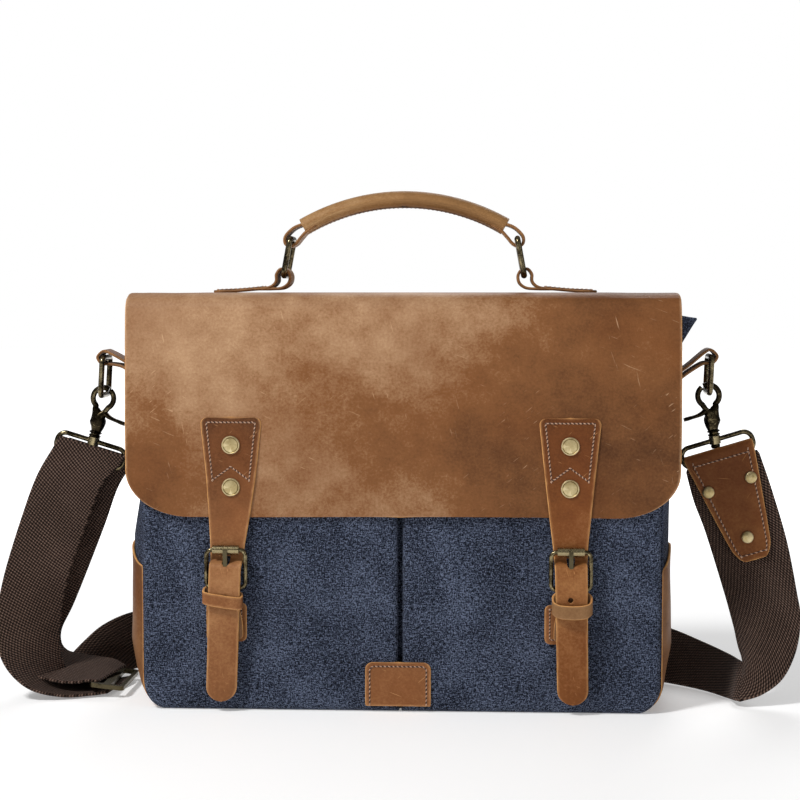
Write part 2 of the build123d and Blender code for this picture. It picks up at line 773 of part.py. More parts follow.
FRONT_LEFT = [
    ((-261, -4, 184.0), (-214, -4, 169.5)),
    ((-274, -5, 161.5), (-226, -5, 156.0)),
    ((-286, -7, 128.5), (-237, -6, 128.5)),
    ((-297, -14, 88.8), (-251, -8, 88.8)),
    ((-299, -28, 61.0), (-257, -8, 61.0)),
    ((-297, -36, 40.0), (-259, -8, 39.0)),
    ((-288, -40, 22.0), (-256, -5, 20.0)),
    ((-272, -41, 9.0), (-250, 2, 9.0)),
    ((-250, -36, 3.0), (-240, 12, 4.5)),
    ((-231, -28, 2.5), (-221, 20, 4.0)),
]
BACK_LEFT = [
    ((-256, 4.0, 182.0), (-208, 4, 167.0)),
    ((-265, 5, 158.0), (-217, 5, 152.0)),
    ((-275, 6, 126.0), (-227, 7, 125.0)),
    ((-285, 5, 90.0), (-242, 12, 89.0)),
    ((-291, 0, 62.0), (-255, 18, 60.0)),
    ((-292, -10, 44.0), (-264, 22, 43.0)),
    ((-288, -20, 28.0), (-265, 24, 31.0)),
    ((-274, -26, 16.5), (-259, 24, 24.0)),
    ((-256, -28, 12.0), (-246, 24, 21.5)),
    ((-243, -27, 11.0), (-234, 23, 20.0)),
    ((-234, -25, 12.0), (-223, 23, 18.0)),
]
REAR = [
    ((-267, 8, 9.0), (-221, 6, 8.5)),
    ((-268, 24, 9.0), (-222, 22, 5.5)),
    ((-264, 42, 14.0), (-221, 38, 5.0)),
    ((-254, 55, 25.0), (-216, 52, 5.5)),
    ((-240, 64, 37.0), (-209, 62, 5.5)),
    ((-219, 70, 46.0), (-197, 70, 5.0)),
    ((-192, 73, 50.0), (-180, 75, 3.5)),
    ((-150, 74, 51.0), (-148, 77, 2.5)),
    ((-60, 74, 51.5), (-60, 78, 2.5)),
    ((40, 75, 51.0), (40, 78, 2.5)),
    ((130, 72, 49.0), (130, 73, 2.5)),
    ((172, 71, 45.0), (166, 62, 2.2)),
    ((202, 66, 38.5), (194, 46, 2.0)),
    ((226, 44, 32.0), (222, 18, 2.0)),
    ((242, 16, 28.5), (238, -10, 2.2)),
    ((248.5, -2, 27.0), (240, -30, 5.0)),
]
RIGHT = [
    ((208, -3, 168.0), (259, -3, 183.0)),
    ((214, -4, 146.0), (269, -4, 154.0)),
    ((223, -5, 122.0), (280, -5, 117.0)),
    ((236, -6, 80.0), (287, -10, 80.0)),
    ((242, -7, 58.0), (289, -16, 62.0)),
    ((246, -8, 42.0), (285, -23, 40.0)),
    ((249, -8, 33.0), (275, -29, 21.0)),
    ((250.5, -7, 28.5), (260, -33, 10.0)),
    ((250.5, -6, 27.0), (246, -35, 5.0)),
]
save(ribbon(FRONT_LEFT, WEB_T), "webbing_left_front")
save(ribbon(BACK_LEFT, WEB_T), "webbing_left_back")
save(ribbon(REAR, WEB_T), "webbing_rear")
save(ribbon(RIGHT, WEB_T), "webbing_right")

LEATHER_END = [
    ((207.0, -6.8, 173.0), (255.5, -6.8, 187.0)),
    ((216.0, -7.4, 156.0), (259.5, -7.4, 166.0)),
    ((232.0, -8.4, 126.0), (266.0, -8.4, 130.0)),
    ((246.0, -9.6, 101.0), (269.4, -9.6, 108.0)),
]
END_T = 1.9
STRAP_RIVET_SPOTS = [(223.0, 152.9), (253.7, 164.1), (251.5, 120.3)]
save(ribbon(LEATHER_END, END_T), "strap_end_leather")

with BuildPart() as strap_end_rivets:
    with BuildSketch(Plane.XZ.offset(8.6)):
        with Locations(*STRAP_RIVET_SPOTS):
            Circle(4.5)
    extrude(amount=1.5)
    fillet(strap_end_rivets.faces().sort_by(Axis.Y)[0].edges(), 0.7)
save(strap_end_rivets.part, "strap_end_rivets")

SLIDER_X = -219.0
SLIDER_TILT = 7.0
SLIDER_PLANE = Plane((SLIDER_X, 2.0, 8.6), x_dir=(0, 1, 0), z_dir=(0, 0, 1)).rotated((0, SLIDER_TILT, 0))
with BuildPart() as strap_slider:
    with BuildSketch(SLIDER_PLANE):
        RectangleRounded(62, 26, 4)
        with Locations((0, 6.4), (0, -6.4)):
            RectangleRounded(54, 7.2, 1.5, mode=Mode.SUBTRACT)
    extrude(amount=1.6, both=True)
save(strap_slider.part, "strap_slider")
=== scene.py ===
import json
import math

import bmesh
import bpy
import numpy as np
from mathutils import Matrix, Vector


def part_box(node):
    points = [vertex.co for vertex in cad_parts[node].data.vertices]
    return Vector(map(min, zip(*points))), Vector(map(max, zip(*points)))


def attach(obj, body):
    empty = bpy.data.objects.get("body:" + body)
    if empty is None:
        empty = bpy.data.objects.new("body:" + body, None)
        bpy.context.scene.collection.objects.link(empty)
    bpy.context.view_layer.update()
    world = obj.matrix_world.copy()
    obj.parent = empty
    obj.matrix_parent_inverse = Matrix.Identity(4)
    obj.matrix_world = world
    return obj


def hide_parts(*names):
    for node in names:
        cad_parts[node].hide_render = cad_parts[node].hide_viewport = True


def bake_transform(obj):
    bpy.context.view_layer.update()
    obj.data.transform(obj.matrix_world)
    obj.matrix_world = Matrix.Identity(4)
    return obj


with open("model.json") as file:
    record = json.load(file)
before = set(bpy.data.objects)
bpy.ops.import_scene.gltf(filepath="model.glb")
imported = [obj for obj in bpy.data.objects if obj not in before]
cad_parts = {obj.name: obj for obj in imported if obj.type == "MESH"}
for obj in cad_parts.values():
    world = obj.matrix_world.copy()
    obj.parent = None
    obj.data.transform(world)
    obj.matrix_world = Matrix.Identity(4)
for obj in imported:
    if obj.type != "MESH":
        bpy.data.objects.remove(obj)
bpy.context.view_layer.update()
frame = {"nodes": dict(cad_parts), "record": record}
NODES = frame["nodes"]
MM = 0.001


# ---- Camera and light ------------------------------------------------------------------------
CAMERA_AT, CAMERA_AIM, VIEW_ANGLE = (0.068, -1.366, 0.300), (0.0002, -0.066, 0.2233), 24.39
AMBIENT = 0.24
WHITE = (1, 1, 1, 1)


def aim(obj, target):
    direction = Vector(target) - obj.location
    obj.rotation_mode = "QUATERNION"
    obj.rotation_quaternion = direction.to_track_quat("-Z", "Y")


camera = bpy.data.objects.new("camera", bpy.data.cameras.new("camera"))
bpy.context.scene.collection.objects.link(camera)
camera.location = CAMERA_AT
aim(camera, CAMERA_AIM)
camera.data.sensor_width = 36.0
camera.data.angle = math.radians(VIEW_ANGLE)
bpy.context.scene.camera = camera


def area_light(name, location, target, size, watts):
    lamp = bpy.data.lights.new(name, "AREA")
    lamp.shape = "DISK"
    lamp.size = size
    lamp.energy = watts
    obj = bpy.data.objects.new(name, lamp)
    bpy.context.scene.collection.objects.link(obj)
    obj.location = location
    aim(obj, target)


area_light("key", (-1.15, -1.2, 1.9), (0, 0, 0.12), 0.4, 44)
area_light("fill", (1.5, -1.2, 0.9), (0, 0, 0.15), 1.2, 2.5)
area_light("rim", (0.2, 1.6, 1.4), (0, 0, 0.2), 1.0, 12)

# The camera sees a white backdrop, and the object is lit by a dimmer one.
world = bpy.data.worlds.new("studio")
bpy.context.scene.world = world
world.use_nodes = True
ambient = world.node_tree.nodes["Background"]
ambient.inputs["Color"].default_value = WHITE
ambient.inputs["Strength"].default_value = AMBIENT
backdrop = world.node_tree.nodes.new("ShaderNodeBackground")
backdrop.inputs["Color"].default_value = WHITE
seen = world.node_tree.nodes.new("ShaderNodeLightPath")
pick = world.node_tree.nodes.new("ShaderNodeMixShader")
world.node_tree.links.new(seen.outputs["Is Camera Ray"], pick.inputs[0])
world.node_tree.links.new(ambient.outputs[0], pick.inputs[1])
world.node_tree.links.new(backdrop.outputs[0], pick.inputs[2])
world.node_tree.links.new(pick.outputs[0], world.node_tree.nodes["World Output"].inputs[0])
bpy.context.scene.view_settings.view_transform = "Standard"


# ---- Node helpers ----------------------------------------------------------------------------
def srgb(r, g, b):
    """Display colour 0..255 as linear."""
    linear = [(c / 255 / 12.92) if c <= 10 else (((c / 255) + 0.055) / 1.055) ** 2.4 for c in (r, g, b)]
    return (*linear, 1.0)


class Shade:
    """A small writer of node materials. Texture space is in metres, on the UV map or the object."""

    def __init__(self, name, coords="UV"):
        self.mat = bpy.data.materials.new(name)
        self.mat.use_nodes = True
        self.tree = self.mat.node_tree
        self.bsdf = self.tree.nodes["Principled BSDF"]
        self.uv = self.tree.nodes.new("ShaderNodeTexCoord").outputs[coords]

    def node(self, kind, inputs, out=0, **props):
        n = self.tree.nodes.new("ShaderNode" + kind)
        for key, value in props.items():
            setattr(n, key, value)
        for key, value in inputs.items():
            if isinstance(value, bpy.types.NodeSocket):
                self.tree.links.new(value, n.inputs[key])
            else:
                n.inputs[key].default_value = value
        return n.outputs[out]

    def scaled(self, x, y, turn=0.0):
        """Texture space turned by some degrees, then scaled."""
        turned = self.uv
        if turn:
            turned = self.node("Mapping", {"Vector": self.uv, "Rotation": (0, 0, math.radians(turn))})
        return self.node("Mapping", {"Vector": turned, "Scale": (x, y, 1.0)})

    def split(self, vector):
        n = self.tree.nodes.new("ShaderNodeSeparateXYZ")
        self.tree.links.new(vector, n.inputs[0])
        return n.outputs

    def noise(self, vector, scale, detail=3.0, rough=0.55, twist=0.0):
        inputs = {
            "Vector": vector, "Scale": scale, "Detail": detail, "Roughness": rough, "Distortion": twist,
        }
        return self.node("TexNoise", inputs)

    def math(self, op, a, b=0.0, c=0.0):
        return self.node("Math", {0: a, 1: b, 2: c}, operation=op)

    def layered(self, base, *layers):
        """base plus each value times its weight."""
        for value, weight in layers:
            base = self.math("MULTIPLY_ADD", value, weight, base)
        return base

    def clamp(self, value, low, high, to_low=0.0, to_high=1.0):
        """Map low..high to to_low..to_high, and hold the ends."""
        inputs = {"Value": value, "From Min": low, "From Max": high, "To Min": to_low, "To Max": to_high}
        return self.node("MapRange", inputs)

    def ramp(self, fac, stops):
        n = self.tree.nodes.new("ShaderNodeValToRGB")
        ramp = n.color_ramp
        while len(ramp.elements) < len(stops):
            ramp.elements.new(0.5)
        for element, (position, colour) in zip(ramp.elements, stops):
            element.position = position
            element.color = colour
        self.tree.links.new(fac, n.inputs[0])
        return n.outputs[0]

    def mix(self, fac, a, b):
        n = self.tree.nodes.new("ShaderNodeMix")
        n.data_type = "RGBA"
        for index, value in ((0, fac), (6, a), (7, b)):
            if isinstance(value, bpy.types.NodeSocket):
                self.tree.links.new(value, n.inputs[index])
            else:
                n.inputs[index].default_value = value
        return n.outputs[2]

    def attribute(self, name):
        return self.node("Attribute", {}, out=2, attribute_name=name)

    def bump(self, height, distance, strength=1.0, normal=None):
        links = {"Height": height, "Distance": distance, "Strength": strength}
        if normal is not None:
            links["Normal"] = normal
        return self.node("Bump", links)

    def finish(self, colour, rough, normal=None, **constants):
        for key, value in (("Base Color", colour), ("Roughness", rough), ("Normal", normal)):
            if isinstance(value, bpy.types.NodeSocket):
                self.tree.links.new(value, self.bsdf.inputs[key])
            elif value is not None:
                self.bsdf.inputs[key].default_value = value
        for key, value in constants.items():
            self.bsdf.inputs[key.replace("_", " ")].default_value = value
        return self.mat


# (turn in degrees, scale across the line, scale along it, threshold)
SCRATCHES = ((23, 60, 620, 0.69), (-38, 72, 700, 0.69), (74, 52, 560, 0.695))


def leather(name, dark, mid, light, edge_wear=0.5, light_and_shade_spots=(), scratches=0.5, red=None, upper=None):
    """Waxed pull-up leather: cloudy tone, fine grain, pale scuffs and rubbed edges.
    Its soft spots, each (x, y, width, height, amount), are painted light and shade, lit and shaded patches
    added to the tone; upper is (low z, high z, how much darker)."""
    s = Shade(name)
    cloud = s.noise(s.uv, 6.5, 2.5, 0.45, 0.5)
    mottle = s.noise(s.uv, 55, 5, 0.65)
    fleck = s.noise(s.uv, 520, 3, 0.7)
    tone = s.math("MULTIPLY_ADD", s.math("SUBTRACT", cloud, 0.5), 0.75, 0.5)
    if upper:
        low, high, darker = upper
        where = s.split(s.tree.nodes.new("ShaderNodeTexCoord").outputs["Object"])
        tone = s.math("SUBTRACT", tone, s.clamp(where[2], low, high, 0.0, darker))
    # Painted light and shade: each soft spot lights or shades a patch of the tone.
    for x, y, width, height, amount in light_and_shade_spots:
        shift = s.node("VectorMath", {0: s.uv, 1: (-x, -y, 0)}, operation="ADD")
        shift = s.node("VectorMath", {0: shift, 1: (1 / width, 1 / height, 0)}, operation="MULTIPLY")
        reach = s.node("VectorMath", {0: shift}, out=1, operation="LENGTH")
        fall = {"Value": reach, "From Min": 0.0, "From Max": 1.0, "To Min": amount, "To Max": 0.0}
        spot = s.node("MapRange", fall, interpolation_type="SMOOTHSTEP")
        tone = s.math("ADD", tone, spot)
    tone = s.math("ADD", tone, s.math("MULTIPLY_ADD", mottle, 0.38, -0.19))
    tone = s.math("ADD", tone, s.math("MULTIPLY_ADD", fleck, 0.30, -0.15))
    colour = s.ramp(tone, [(0.12, dark), (0.5, mid), (0.88, light)])
    if red:
        colour = s.mix(s.clamp(s.noise(s.uv, 12, 2), 0.45, 0.75, 0.0, 0.5), colour, red)
    streak = 0.0
    for turn, x, y, low in SCRATCHES:
        line = s.clamp(s.noise(s.scaled(x, y, turn), 1, 2, 0.5, 0.4), low, low + 0.05)
        patch = s.clamp(s.noise(s.scaled(1, 1, turn), 14, 1), 0.5, 0.62)
        streak = s.math("MAXIMUM", streak, s.math("MULTIPLY", line, patch))
    colour = s.mix(s.math("MULTIPLY", streak, scratches), colour, light)
    rim = s.clamp(s.attribute("rim"), 0.0, 0.0014, 1.0, 0.0)
    rub = s.math("MULTIPLY", rim, s.clamp(s.noise(s.uv, 160, 3), 0.35, 0.65, 0.3, 1.0))
    colour = s.mix(s.math("MULTIPLY", rub, edge_wear), colour, light)
    pore = s.node("TexVoronoi", {"Vector": s.uv, "Scale": 620.0}, feature="SMOOTH_F1")
    grain = s.math("MULTIPLY_ADD", pore, 0.5, s.noise(s.uv, 900, 2))
    wrinkle = s.noise(s.uv, 120, 4, 0.6, 0.8)
    normal = s.bump(wrinkle, 0.0007, 0.45)
    normal = s.bump(grain, 0.00025, 0.55, normal)
    rough = s.clamp(tone, 0.1, 0.9, 0.62, 0.50)
    return s.finish(colour, rough, normal, Specular_IOR_Level=0.16)


def cut_edge(name, pale, deep):
    """The raw side of cut leather: pale, fibrous, with a darker burnished line."""
    s = Shade(name, "Object")
    fibre = s.noise(s.uv, 1500, 3, 0.7)
    tone = s.layered(s.math("MULTIPLY", s.noise(s.uv, 90, 2), 0.5), (fibre, 0.5))
    colour = s.ramp(tone, [(0.3, deep), (0.62, pale)])
    return s.finish(colour, 0.75, s.bump(fibre, 0.0002, 0.6), Specular_IOR_Level=0.25)


def suede(name, dark, light):
    """The flesh side of the leather."""
    s = Shade(name)
    nap = s.noise(s.uv, 1100, 4, 0.75)
    tone = s.layered(s.math("MULTIPLY", s.noise(s.uv, 30, 3), 0.5), (nap, 0.5))
    colour = s.ramp(tone, [(0.3, dark), (0.7, light)])
    sheen = {"Sheen_Weight": 0.25, "Sheen_Roughness": 0.5}
    return s.finish(colour, 0.95, s.bump(nap, 0.0003, 0.6), Specular_IOR_Level=0.2, **sheen)


def canvas(name, deep, base, pale, thread=0.00085, wash=1.0):
    """Washed heavy canvas: plain weave with slubs, pale worn thread tops and cloudy fading."""
    s = Shade(name)
    turns = 2 * math.pi / thread
    jitter = s.node("TexNoise", {"Vector": s.uv, "Scale": 300.0}, out=1)
    jitter = s.node("VectorMath", {0: jitter, 1: (0.0009, 0.0009, 0)}, operation="MULTIPLY")
    x, y, _ = s.split(s.node("VectorMath", {0: s.uv, 1: jitter}, operation="ADD"))
    warp = s.math("SINE", s.math("MULTIPLY", x, turns))
    weft = s.math("SINE", s.math("MULTIPLY", y, turns * 0.9))
    cross = s.math("MULTIPLY", warp, weft)
    slub_x = s.noise(s.scaled(330, 1100), 1, 3, 0.6)
    slub_y = s.noise(s.scaled(1100, 360), 1, 3, 0.6)
    speck = s.noise(s.uv, 1050, 3, 0.75)
    fade = s.noise(s.uv, 22, 5, 0.6, 0.4)
    tone = s.layered(-0.475, (speck, 0.95), (slub_y, 0.45), (slub_x, 0.55), (cross, 0.07))
    tone = s.math("ADD", tone, s.math("MULTIPLY_ADD", fade, 0.24 * wash, -0.12 * wash))
    tone = s.math("MULTIPLY_ADD", s.math("SUBTRACT", tone, 0.5), 2.5, 0.5)
    rim = s.clamp(s.attribute("rim"), 0.0, 0.004, 0.16, 0.0)
    tone = s.math("ADD", tone, rim)
    colour = s.ramp(tone, [(0.22, deep), (0.5, base), (0.82, pale)])
    height = s.layered(speck, (slub_y, 0.7), (slub_x, 1.0), (cross, 0.35))
    normal = s.bump(s.noise(s.uv, 38, 3), 0.0022, 0.35)
    normal = s.bump(height, 0.0006, 1.0, normal)
    return s.finish(colour, 0.9, normal, Specular_IOR_Level=0.1, Sheen_Weight=0.03, Sheen_Roughness=0.6)


def webbing(name, deep, base, pale):
    """Heavy cotton webbing: diagonal ribs across the width and a tighter woven edge."""
    s = Shade(name)
    rib_wide, rib_tall, cord_wide = 0.0034, 0.0021, 0.0024
    x, y, _ = s.split(s.uv)
    across = s.math("MULTIPLY", x, 2 * math.pi / rib_wide)
    along = s.math("MULTIPLY", y, 2 * math.pi / rib_tall)
    rib = s.math("SINE", s.math("ADD", along, across))
    cords = s.math("MULTIPLY", x, 2 * math.pi / cord_wide)
    cord = s.math("SINE", s.math("SUBTRACT", cords, s.math("MULTIPLY", along, 0.25)))
    fuzz = s.noise(s.uv, 700, 3, 0.7)
    tone = s.layered(0.28, (fuzz, 0.4), (cord, 0.12), (rib, 0.19))
    tone = s.math("ADD", tone, s.math("MULTIPLY_ADD", s.noise(s.uv, 22, 2), 0.2, -0.1))
    colour = s.ramp(tone, [(0.22, deep), (0.5, base), (0.8, pale)])
    height = s.layered(fuzz, (cord, 0.25), (rib, 0.5))
    sheen = {"Sheen_Weight": 0.04, "Sheen_Roughness": 0.5}
    return s.finish(colour, 0.88, s.bump(height, 0.0006, 1.0), Specular_IOR_Level=0.15, **sheen)


def metal(name, dark, mid, bright, rough=0.36, scale=1.0):
    """Antique plate: dark in the hollows, rubbed bright on the high spots."""
    s = Shade(name, "Object")
    patina = s.noise(s.uv, 120 * scale, 4, 0.65)
    speck = s.noise(s.uv, 900 * scale, 3, 0.7)
    tone = s.math("MULTIPLY_ADD", speck, 0.35, s.math("MULTIPLY", patina, 0.65))
    pointy = s.node("NewGeometry", {}, out="Pointiness")
    tone = s.math("ADD", tone, s.clamp(pointy, 0.42, 0.58, -0.2, 0.25))
    colour = s.ramp(tone, [(0.32, dark), (0.5, mid), (0.72, bright)])
    roughness = s.clamp(speck, 0.3, 0.7, rough - 0.08, rough + 0.14)
    return s.finish(colour, roughness, s.bump(speck, 0.00008, 0.5), Metallic=1.0)


def thread(name, dark, light):
    """Waxed sewing thread."""
    s = Shade(name, "Object")
    ply = s.noise(s.uv, 1800, 2)
    return s.finish(
        s.ramp(ply, [(0.35, dark), (0.65, light)]), 0.7, s.bump(ply, 0.0001, 0.5), Sheen_Weight=0.2,
    )


# Painted light and shade on the flap: lighter patches where the light falls, darker ones towards the lower
# corners: (x, y, width, height, amount)
FLAP_LIGHT_AND_SHADE = (
    (-0.13, 0.15, 0.26, 0.16, 0.16), (0.0, 0.15, 0.16, 0.08, 0.10), (0.0, 0.01, 0.14, 0.05, 0.12),
    (0.19, 0.05, 0.20, 0.20, -0.14), (-0.19, 0.025, 0.11, 0.11, -0.16),
)
M = {
    "flap": leather("flap_leather", srgb(50, 24, 6), srgb(124, 80, 45), srgb(196, 160, 124), 0.5,
                    FLAP_LIGHT_AND_SHADE, 0.6, srgb(112, 64, 28)),
    "strap": leather(
        "strap_leather", srgb(56, 27, 8), srgb(132, 85, 50), srgb(190, 142, 96), 0.7, (), 0.7,
        srgb(122, 68, 30), (0.120, 0.175, 0.26),
    ),
    "strap_red": leather(
        "red_strap_leather", srgb(48, 20, 4), srgb(120, 70, 32), srgb(186, 134, 84), 0.7, (), 0.9,
        srgb(104, 52, 20), (0.120, 0.175, 0.16),
    ),
    "grip": leather(
        "grip_leather", srgb(78, 50, 24), srgb(140, 102, 62), srgb(194, 158, 114), 0.4, (), 0.3,
    ),
    "end": leather(
        "end_leather", srgb(44, 18, 4), srgb(106, 60, 26), srgb(160, 108, 60), 0.6, (), 0.7,
        srgb(84, 40, 12),
    ),
    "keeper": leather(
        "keeper_leather", srgb(84, 56, 34), srgb(132, 96, 62), srgb(172, 136, 98), 0.4, (), 0.3,
    ),
    "base": leather("base_leather", srgb(52, 26, 10), srgb(104, 64, 36), srgb(160, 118, 78), 0.6, (), 0.5),
    "edge_dark": cut_edge("burnished_edge", srgb(156, 112, 70), srgb(92, 58, 32)),
    "edge": cut_edge("cut_edge", srgb(214, 160, 98), srgb(150, 96, 52)),
    "suede": suede("flesh_side", srgb(96, 66, 44), srgb(150, 112, 80)),
    "canvas": canvas("washed_canvas", srgb(3, 5, 12), srgb(38, 45, 64), srgb(120, 131, 156)),
    # A darker copy of the canvas, painted shade, for the side walls, the piping and the pocket edges and
    # insides.
    "shaded_canvas": canvas("shaded_side_canvas", srgb(3, 5, 12), srgb(34, 40, 58), srgb(100, 109, 134)),
    "lining": canvas("lining_cloth", srgb(40, 34, 28), srgb(84, 74, 62), srgb(120, 108, 94), 0.0005, 0.4),
    "webbing": webbing("strap_webbing", srgb(8, 3, 0), srgb(56, 39, 31), srgb(124, 102, 90)),
    "antique_brass": metal("antique_brass", srgb(16, 12, 8), srgb(50, 43, 30), srgb(156, 142, 108), 0.22),
    "rivet_brass": metal(
        "rivet_brass", srgb(96, 80, 48), srgb(170, 150, 104), srgb(214, 198, 156), 0.4, 0.6,
    ),
    # A darker copy of the antique brass: painted shade on the buckle prongs and the strap slider.
    "shaded_brass": metal("shaded_brass", srgb(10, 8, 5), srgb(28, 24, 17), srgb(88, 80, 60), 0.3),
    "thread": thread("stitch_thread", srgb(140, 102, 76), srgb(208, 170, 140)),
    "grip_thread": thread("grip_thread", srgb(80, 54, 34), srgb(140, 104, 74)),
    # Painted shade: a near-black colour for the groove under the stitches.
    "groove": thread("stitch_groove_shade", srgb(30, 13, 6), srgb(60, 30, 16)),
    "dark_thread": thread("dark_thread", srgb(24, 26, 36), srgb(66, 70, 88)),
}


# ---- Mesh helpers (all points in millimetres) --------------------------------------------------
def unit(v):
    return v / np.maximum(np.linalg.norm(v, axis=-1, keepdims=True), 1e-9)


def spline(points, count):
    """Catmull-Rom through the points, resampled to equal steps."""
    p = np.array(points, float)
    p = np.vstack([2 * p[0] - p[1], p, 2 * p[-1] - p[-2]])
    dense = []
    for i in range(1, len(p) - 2):
        t = np.linspace(0, 1, 24, endpoint=False)[:, None]
        a, b, c, d = p[i - 1], p[i], p[i + 1], p[i + 2]
        square, cube = 2 * a - 5 * b + 4 * c - d, 3 * b - a - 3 * c + d
        dense.append(0.5 * (2 * b + (c - a) * t + square * t**2 + cube * t**3))
    dense = np.vstack(dense + [p[-2][None]])
    return resample(dense, count)


def steps_along(points):
    """Distance from the start of a line to each of its points."""
    return np.concatenate([[0], np.cumsum(np.linalg.norm(np.diff(points, axis=0), axis=1))])


def run_of(line):
    """The whole length of a line."""
    return float(np.linalg.norm(np.diff(line, axis=0), axis=1).sum())


def resample(points, count):
    """The same line in equal steps."""
    p = np.array(points, float)
    run = steps_along(p)
    at = np.linspace(0, run[-1], count)
    return np.stack([np.interp(at, run, p[:, k]) for k in range(p.shape[1])], axis=1)


def spaced(length, count, head=(0, 1), foot=(0, 1)):
    """Distances 0..length in even steps, closer together over a rounded head and foot, each (radius, steps)."""
    (r, k), (q, m) = head, foot
    quarter = math.pi / 2
    first = r * (1 - np.cos(np.linspace(0, quarter, k))) if r else [0.0]
    last = length - q + q * np.sin(np.linspace(0, quarter, m))[1:] if q else []
    return np.concatenate([first, np.linspace(r, length - q, count)[1:], last])


def corner_cut(distance, radius):
    """How far a rounded corner draws the edge in, at some distance from the end."""
    h = max(radius - distance, 0)
    return radius - math.sqrt(max(radius**2 - h**2, 0))


def ripple(x, z, seed, size=60.0):
    """A smooth random height, about -1..1, for soft unevenness."""
    a, b = x / size, z / size
    long_wave = np.sin(1.7 * a + 2.3 * b + seed)
    cross_wave = np.sin(3.1 * a - 1.9 * b + 2.1 * seed) * 0.6
    short_wave = np.sin(5.3 * b + 1.3 * a + 3.7 * seed) * 0.4
    return (long_wave + cross_wave + short_wave) / 2.0


FAR_FROM_RIM = 0.02


def link(name, verts, faces, mats, slots=None, uvs=None, rim=None, smooth=40.0):
    """A mesh object from millimetre points. rim is each point's distance from the cut edge."""
    mesh = bpy.data.meshes.new(name)
    mesh.from_pydata(
        [tuple(v) for v in np.array(verts, float) * MM], [], [tuple(int(i) for i in f) for f in faces],
    )
    for mat in mats:
        mesh.materials.append(M[mat])
    if slots is not None:
        mesh.polygons.foreach_set("material_index", np.array(slots, np.int32))
    layer = mesh.uv_layers.new(name="UVMap")
    if uvs is not None:
        corner = np.zeros(len(mesh.loops), np.int32)
        mesh.loops.foreach_get("vertex_index", corner)
        layer.data.foreach_set("uv", (np.array(uvs, float) * MM)[corner].astype(np.float32).ravel())
    values = np.full(len(verts), FAR_FROM_RIM) if rim is None else np.array(rim, float) * MM
    mesh.attributes.new("rim", "FLOAT", "POINT").data.foreach_set("value", values.astype(np.float32))
    mesh.polygons.foreach_set("use_smooth", [True] * len(faces))
    mesh.set_sharp_from_angle(angle=math.radians(smooth))
    mesh.validate()
    obj = bpy.data.objects.new(name, mesh)
    bpy.context.scene.collection.objects.link(obj)
    return obj


SHEET_SIDES = ("top", "bottom", "left", "right")


def slab(name, grid, thick, mats, closed_rim=SHEET_SIDES, centred=False, uvs=None, lip=0.3, butt=()):
    """A sheet from a rows x columns grid of its outer face, columns to the right and rows down seen from
    outside. mats are the outer face, the cut edge and the inner face. closed_rim sides get a rounded edge
    and butt sides a flat one."""
    g = np.array(grid, float)
    rows, cols = g.shape[:2]
    du = np.gradient(g, axis=1)
    dv = np.gradient(g, axis=0)
    normal = unit(np.cross(dv, du))
    if centred:
        g = g + normal * thick / 2
    inner = g - normal * thick
    wide = np.cumsum(np.linalg.norm(np.diff(g, axis=1), axis=2), axis=1)
    tall = np.cumsum(np.linalg.norm(np.diff(g, axis=0), axis=2), axis=0)
    step_u = np.concatenate([np.zeros((rows, 1)), wide], axis=1)
    step_v = np.concatenate([np.zeros((1, cols)), tall], axis=0)
    if uvs is None:
        middle = slice(cols // 2, cols // 2 + 1)
        uv = np.stack([step_u - step_u[:, middle], -np.repeat(step_v[:, middle], cols, axis=1)], axis=2)
    else:
        uv = np.array(uvs, float)
    near = [step_v, step_v[-1:, :] - step_v, step_u, step_u[:, -1:] - step_u]
    far = np.full_like(step_u, FAR_FROM_RIM / MM)
    rim = np.minimum.reduce([d if side in closed_rim else far for d, side in zip(near, SHEET_SIDES)])
    flat, flat_inner, flat_uv = g.reshape(-1, 3), inner.reshape(-1, 3), uv.reshape(-1, 2)
    verts = [flat, flat_inner]
    all_uv = [flat_uv, flat_uv]
    rims = [rim.ravel(), rim.ravel()]
    n = rows * cols
    index = np.arange(n).reshape(rows, cols)
    a, b = index[:-1, :-1].ravel(), index[:-1, 1:].ravel()
    d, c = index[1:, :-1].ravel(), index[1:, 1:].ravel()
    faces = list(zip(a, d, c, b)) + list(zip(a + n, b + n, c + n, d + n))
    slots = [0] * len(a) + [2] * len(a)
    runs = {
        "top": (index[0], index[1]), "bottom": (index[-1][::-1], index[-2][::-1]),
        "left": (index[::-1, 0], index[::-1, 1]), "right": (index[:, -1], index[:, -2]),
    }
    middle_of = {}
    extra, extra_uv = [], []
    for side in butt:
        border = runs[side][0]
        for v, w in zip(border[:-1], border[1:]):
            faces.append((int(v), int(w), int(w) + n, int(v) + n))
            slots.append(0)
    for side in closed_rim:
        border, behind = runs[side]
        for v, w in zip(border, behind):
            if int(v) not in middle_of:
                out = unit(flat[v] - flat[w])
                middle_of[int(v)] = 2 * n + len(extra)
                extra.append((flat[v] + flat_inner[v]) / 2 + out * thick * lip)
                extra_uv.append(flat_uv[v])
        for v, w in zip(border[:-1], border[1:]):
            v, w = int(v), int(w)
            mv, mw = middle_of[v], middle_of[w]
            faces += [(v, w, mw, mv), (mv, mw, w + n, v + n)]
            slots += [1, 1]
    if extra:
        verts.append(np.array(extra))
        all_uv.append(np.array(extra_uv))
        rims.append(np.zeros(len(extra)))
    return link(name, np.vstack(verts), faces, mats, slots, np.vstack(all_uv), np.concatenate(rims))


def strip(name, path, half, across, thick, mats):
    """A strip along a path: half gives its half width for 0..1 along it, across is the way of its width."""
    p = np.array(path, float)
    width = np.array([half(t) for t in np.linspace(0, 1, len(p))])
    u = np.linspace(-1, 1, 9)
    across = np.array(across, float)[None, None, :]
    grid = p[:, None, :] + across * (u[None, :, None] * width[:, None, None])
    return slab(name, grid, thick, mats)


